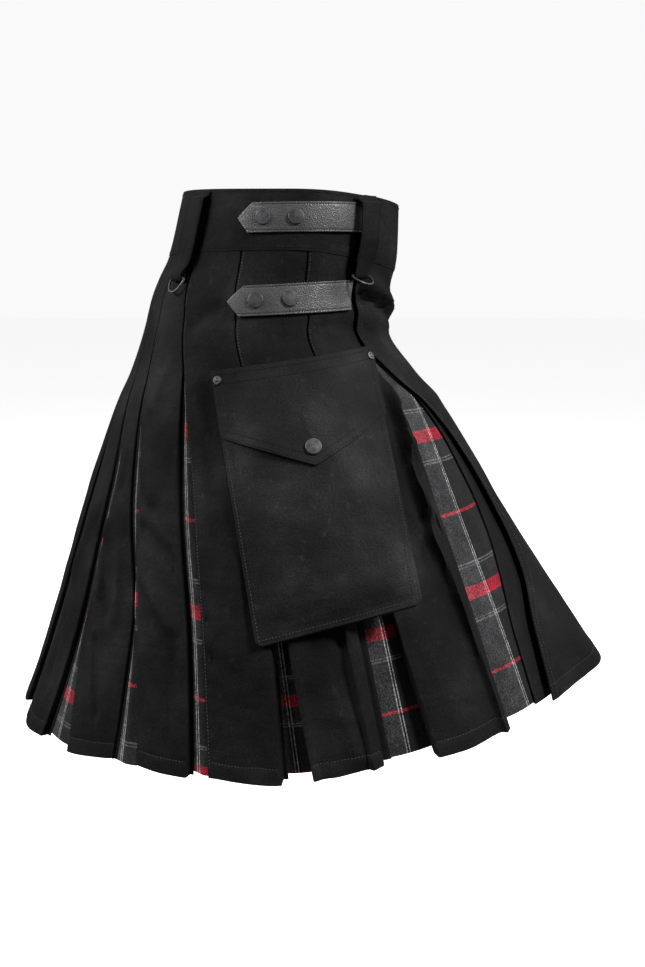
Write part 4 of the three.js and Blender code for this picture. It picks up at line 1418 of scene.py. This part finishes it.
def pocket_puff(across, down):
    """How far the pocket's front stands off its back."""
    wide = 1 - (2 * across - 1) ** 4
    tall = smoothstep(1 - down, 0, 0.12) * lerp(0.55, 1, smoothstep(down, 0, 0.5))
    return POCKET_EDGE + POCKET_PUFF * wide * tall


def pocket_margin(down):
    """How much of the width the rounded bottom corner takes off each side."""
    rise = (1 - down) * POCKET_HEIGHT
    if rise >= POCKET_CORNER:
        return 0
    gap = POCKET_CORNER - rise
    return (POCKET_CORNER - math.sqrt(max(POCKET_CORNER ** 2 - gap ** 2, 0))) / POCKET_WIDTH


def pocket_front(side):
    """The pocket's front as a surface of across and down."""
    def surface(across, down):
        margin = pocket_margin(down)
        at = lerp(margin, 1 - margin, across)
        rim = min(across, 1 - across) * POCKET_WIDTH
        fade = smoothstep(rim, 2, 14) * smoothstep(1 - down, 0.02, 0.1)
        soft = ripple(across * POCKET_WIDTH, down * POCKET_HEIGHT, "pocket", side)
        folds = crease_height(POCKET_CREASES, across, down, POCKET_WIDTH, POCKET_HEIGHT)
        height = 2 * POCKET_WALL + pocket_puff(at, down) + (soft + folds) * fade
        return on_pocket(at, down, height, side)
    return surface


def flap_length(across):
    """How far down the pocket the pointed flap reaches."""
    if across < FLAP_ACROSS:
        return lerp(FLAP_BACK, FLAP_APEX, across / FLAP_ACROSS)
    return lerp(FLAP_APEX, FLAP_FRONT, (across - FLAP_ACROSS) / (1 - FLAP_ACROSS))


def flap_face(side):
    """The flap's outer side as a surface of across and part of its length."""
    def surface(across, part):
        down = part * flap_length(across)
        base = 2 * POCKET_WALL + pocket_puff(across, down) + FLAP_GAP + FLAP_WALL
        soft = ripple(across * POCKET_WIDTH, down * POCKET_HEIGHT, "flap", side)
        pinch = math.exp(-((across - FLAP_ACROSS) / 0.09) ** 2
                         - ((down - FLAP_SNAP) / 0.05) ** 2)
        lift = 1.2 * smoothstep(part, 0.6, 1) * (1 - 2.2 * pinch)
        return on_pocket(across, down, base + 0.4 + soft * smoothstep(part, 0, 0.2) + lift,
                         side)
    return surface


def finer(places, parts=12):
    """The same line of places with more points on its long runs."""
    line = []
    for (a, b), (c, d) in zip(places, places[1:]):
        count = parts if abs(b - d) > 0.2 else 1
        line += [(lerp(a, c, i / count), lerp(b, d, i / count)) for i in range(count)]
    return line + [places[-1]]


class KILT_OT_pockets(bpy.types.Operator):
    """Make the two cargo pockets and their pointed flaps"""

    bl_idname = "kilt.pockets"
    bl_label = "Cargo pockets"

    def execute(self, context):
        settings = context.scene.kilt_cloth
        for side, label in SIDES:
            self.make_pocket(side, label, settings)
            self.make_flap(side, label, settings)
        return {"FINISHED"}

    def make_pocket(self, side, label, settings):
        front = pocket_front(side)
        downs = steps(34, 0.02, 0.9) + [0.92, 0.94, 0.955, 0.97, 0.98, 0.99, 0.996, 1.0]
        half_way = (2 * POCKET_WALL + POCKET_EDGE) * 0.5
        rows = []
        for down in downs:
            margin = pocket_margin(down)
            row = [front(across, down) for across in steps(POCKET_COLUMNS)]
            row += [on_pocket(1 - margin + 0.006, down, half_way, side)]
            row += [on_pocket(across, down, 0, side)
                    for across in steps(POCKET_BACK_COLUMNS, 1 - margin, margin)]
            row += [on_pocket(margin - 0.006, down, half_way, side)]
            rows.append(row)
        round_it = steps(POCKET_COLUMNS) + [1] + steps(POCKET_BACK_COLUMNS, 1, 0) + [0]
        margin = pocket_margin(1)
        rows.append([on_pocket(lerp(margin, 1 - margin, across), 1.006, POCKET_WALL, side)
                     for across in round_it])
        obj, cut = cloth_sheet(f"pocket_{label}_cloth", rows, finish_of("pocket_drill"),
                               POCKET_CLOTH, closed=True)
        dress(obj, f"pocket_{label}", cut)
        for name, thread, edge, down in (("edge", "thread", 0.018, 0.983),
                                         ("inner", "black_thread", 0.047, 0.958)):
            lines = [line_on(front, [(at, low) for low in steps(160, 0.3, 0.985)])
                     for at in (edge, 1 - edge)]
            lines.append(line_on(front, [(across, down) for across in steps(110, 0.03, 0.97)]))
            stitching(f"stitching_pocket_{name}_{label}", lines, settings, finish_of(thread))

    def make_flap(self, side, label, settings):
        surface = flap_face(side)
        acrosses = sorted(set(steps(36) + [FLAP_ACROSS]))
        parts = [0, 0.01, 0.03] + steps(18)[1:-1] + [0.98, 0.993, 1]
        rows = [[surface(across, part) for across in acrosses] for part in parts]
        obj, cut = cloth_sheet(f"pocket_flap_{label}_cloth", rows, finish_of("pocket_drill"),
                               FLAP_WALL, bevel=0.5)
        dress(obj, f"pocket_flap_{label}", cut)

        def border(gap):
            """A line that runs down one side, along the pointed edge and up the other."""
            across, down = gap / POCKET_WIDTH, gap / POCKET_HEIGHT * 1.08
            ends = [(across, 0.02)]
            ends += [(at, (flap_length(at) - down) / flap_length(at))
                     for at in steps(100, across, 1 - across)]
            ends.append((1 - across, 0.02))
            return finer(ends)

        lines = [line_on(surface, border(gap)) for gap in (STITCH_INSET, SECOND_ROW)]
        for down in (0.018, 0.055):
            lines.append(line_on(surface, [(across, down / flap_length(across))
                                           for across in steps(110, 0.02, 0.98)]))
        stitching(f"stitching_flap_{label}", lines, settings, finish_of("black_thread"))


class KILT_OT_fasteners(bpy.types.Operator):
    """Make the snap caps on straps and flaps, and the pockets' corner rivets"""

    bl_idname = "kilt.fasteners"
    bl_label = "Snaps and rivets"

    def execute(self, context):
        snap = turned_cap("snap", SNAP_PROFILE, 36)
        rivet = turned_cap("rivet", RIVET_PROFILE, 24)
        for side, label in SIDES:
            for strap in STRAPS:
                for i, angle in enumerate(strap["snaps"]):
                    foot, out = self.strap_foot(strap, angle, side)
                    place_cap(snap, f"snap_{strap['name']}_{label}_{i + 1}", foot, out)
            caps = [(f"pocket_snap_{label}", snap, FLAP_ACROSS, FLAP_SNAP)]
            caps += [(f"rivet_{kind}_{label}", rivet, across, down)
                     for kind, across, down in RIVETS]
            for name, cap, across, down in caps:
                height = 2 * POCKET_WALL + pocket_puff(across, down) + FLAP_GAP + FLAP_WALL
                out = pocket_normal(across, down)
                out.x *= side
                place_cap(cap, name, on_pocket(across, down, height, side), out)
        for pattern in (snap, rivet):
            bpy.data.objects.remove(pattern)
        return {"FINISHED"}

    def strap_foot(self, strap, angle, side):
        """Where a snap stands on its strap, and the direction out of it."""
        z = strap_height(strap, angle)
        foot = skin(angle * side, z, -strap_lift(angle, side) - LEATHER)
        upper = skin(angle * side, z + STRAP_WIDTH / 2)
        lower = skin(angle * side, z - STRAP_WIDTH / 2)
        along, _ = frame_at(angle * side, z)
        out = along.cross(upper - lower).normalized()
        return foot, out if out.dot(foot) > 0 else -out


def turned_cap(name, profile, sides):
    """A turned metal cap that stands on z = 0, drawn up ring by ring from a disc."""
    bpy.ops.object.select_all(action="DESELECT")
    radius, height = profile[0]
    bpy.ops.mesh.primitive_circle_add(vertices=sides, radius=radius * MM, fill_type="NGON",
                                      location=(0, 0, height * MM))
    cap = bpy.context.object
    cap.name = name
    bpy.ops.object.mode_set(mode="EDIT")
    bpy.ops.mesh.select_all(action="SELECT")
    for (radius, height), (wide, high) in zip(profile, profile[1:]):
        bpy.ops.mesh.extrude_region_move(
            TRANSFORM_OT_translate={"value": (0, 0, (high - height) * MM)})
        bpy.ops.transform.resize(value=(wide / radius, wide / radius, 1),
                                 center_override=(0, 0, 0))
    bpy.ops.mesh.select_all(action="SELECT")
    bpy.ops.mesh.normals_make_consistent(inside=False)
    bpy.ops.object.mode_set(mode="OBJECT")
    return cap


def place_cap(pattern, node, foot, out):
    """A copy of a cap, with its own mesh, set down on its node's place."""
    mesh = pattern.data.copy()
    turn = Vector((0, 0, 1)).rotation_difference(out).to_matrix().to_4x4()
    mesh.transform(Matrix.Translation((foot + out * CAP_LIFT) * MM) @ turn)
    mesh.materials.clear()
    mesh.materials.append(finish_of("dark_plate"))
    obj = bpy.data.objects.new(f"{node}_cap", mesh)
    bpy.context.scene.collection.objects.link(obj)
    smooth_by_angle(obj, 35)
    dress(obj, node)


class KILT_OT_stage(bpy.types.Operator):
    """Set up the pale floor, the soft lights and the camera"""

    bl_idname = "kilt.stage"
    bl_label = "Floor, lights and camera"

    def execute(self, context):
        stage = context.scene.kilt_stage
        self.add_floor(stage)
        self.add_world(context)
        for name, place, size, power, share in LIGHTS:
            self.add_light(name, place, size, getattr(stage, power) * share)
        self.add_camera(context, stage)
        context.scene.view_settings.view_transform = "Standard"
        return {"FINISHED"}

    def add_floor(self, stage):
        bpy.ops.object.select_all(action="DESELECT")
        bpy.ops.mesh.primitive_circle_add(vertices=96, radius=FLOOR_RADIUS, fill_type="NGON",
                                          location=(0, 0, stage.floor_height))
        floor = bpy.context.object
        floor.name = "floor"
        bpy.ops.object.transform_apply(location=True, rotation=True, scale=True)
        finish = Finish("studio_floor")
        place, = finish.coordinates("Object")
        cloudy = finish.noise(place, scale=1.5, detail=3)
        finish.join(finish.ramp(cloudy, [(0.2, 0.88), (0.8, 0.92)]), "Base Color")
        finish.set("Roughness", 0.9)
        finish.set("Emission Color", (1, 1, 1, 1))
        finish.set("Emission Strength", FLOOR_GLOW)
        floor.data.materials.append(finish.material)
        floor.visible_diffuse = False
        floor.visible_glossy = False

    def add_world(self, context):
        world = bpy.data.worlds.new("studio")
        context.scene.world = world
        world.use_nodes = True
        nodes, links = world.node_tree.nodes, world.node_tree.links
        background = nodes["Background"]
        seen = nodes.new("ShaderNodeLightPath")
        strength = nodes.new("ShaderNodeMapRange")
        strength.inputs["To Min"].default_value = WORLD_LIGHT
        strength.inputs["To Max"].default_value = WORLD_SEEN
        links.new(seen.outputs["Is Camera Ray"], strength.inputs["Value"])
        links.new(strength.outputs["Result"], background.inputs["Strength"])
        background.inputs["Color"].default_value = (1, 1, 1, 1)

    def add_light(self, name, place, size, power):
        light = bpy.data.lights.new(name, "AREA")
        light.energy = power
        light.size = size
        obj = bpy.data.objects.new(name, light)
        obj.location = place
        aim = LIGHT_TARGET - Vector(place)
        obj.rotation_euler = aim.to_track_quat("-Z", "Y").to_euler()
        bpy.context.scene.collection.objects.link(obj)

    def add_camera(self, context, stage):
        camera = bpy.data.cameras.new("camera")
        camera.sensor_fit = "VERTICAL"
        camera.sensor_height = 36
        camera.lens = stage.lens
        camera.shift_x, camera.shift_y = CAMERA_SHIFT
        obj = bpy.data.objects.new("camera", camera)
        obj.location = CAMERA_PLACE
        obj.rotation_euler = (math.radians(90), 0, math.radians(-90))
        context.scene.collection.objects.link(obj)
        context.scene.camera = obj


OPERATORS = (
    KILT_OT_waistband, KILT_OT_aprons, KILT_OT_pleat_panels, KILT_OT_check_insets,
    KILT_OT_belt_loops, KILT_OT_d_rings, KILT_OT_straps, KILT_OT_pockets, KILT_OT_fasteners,
    KILT_OT_stage,
)


class KILT_PT_panel(bpy.types.Panel):
    """Lists the kilt's pieces and settings"""

    bl_idname = "KILT_PT_panel"
    bl_label = "Utility kilt"
    bl_space_type = "VIEW_3D"
    bl_region_type = "UI"
    bl_category = "Kilt"

    def draw(self, context):
        layout = self.layout
        for group in (context.scene.kilt_cloth, context.scene.kilt_colours,
                      context.scene.kilt_stage):
            box = layout.box()
            for name in group.__annotations__:
                box.prop(group, name)
        for operator in OPERATORS:
            layout.operator(operator.bl_idname)


GROUPS = (("kilt_cloth", KiltCloth), ("kilt_colours", KiltColours), ("kilt_stage", KiltStage))


def register():
    for _, group in GROUPS:
        bpy.utils.register_class(group)
    for operator in OPERATORS:
        bpy.utils.register_class(operator)
    bpy.utils.register_class(KILT_PT_panel)
    for name, group in GROUPS:
        setattr(bpy.types.Scene, name, PointerProperty(type=group))


def unregister():
    for name, _ in GROUPS:
        delattr(bpy.types.Scene, name)
    bpy.utils.unregister_class(KILT_PT_panel)
    for operator in reversed(OPERATORS):
        bpy.utils.unregister_class(operator)
    for _, group in reversed(GROUPS):
        bpy.utils.unregister_class(group)


def main():
    register()
    bpy.ops.kilt.waistband()
    bpy.ops.kilt.aprons()
    bpy.ops.kilt.pleat_panels()
    bpy.ops.kilt.check_insets()
    bpy.ops.kilt.belt_loops()
    bpy.ops.kilt.d_rings()
    bpy.ops.kilt.straps()
    bpy.ops.kilt.pockets()
    bpy.ops.kilt.fasteners()
    bpy.ops.kilt.stage()


if __name__ == "__main__":
    main()
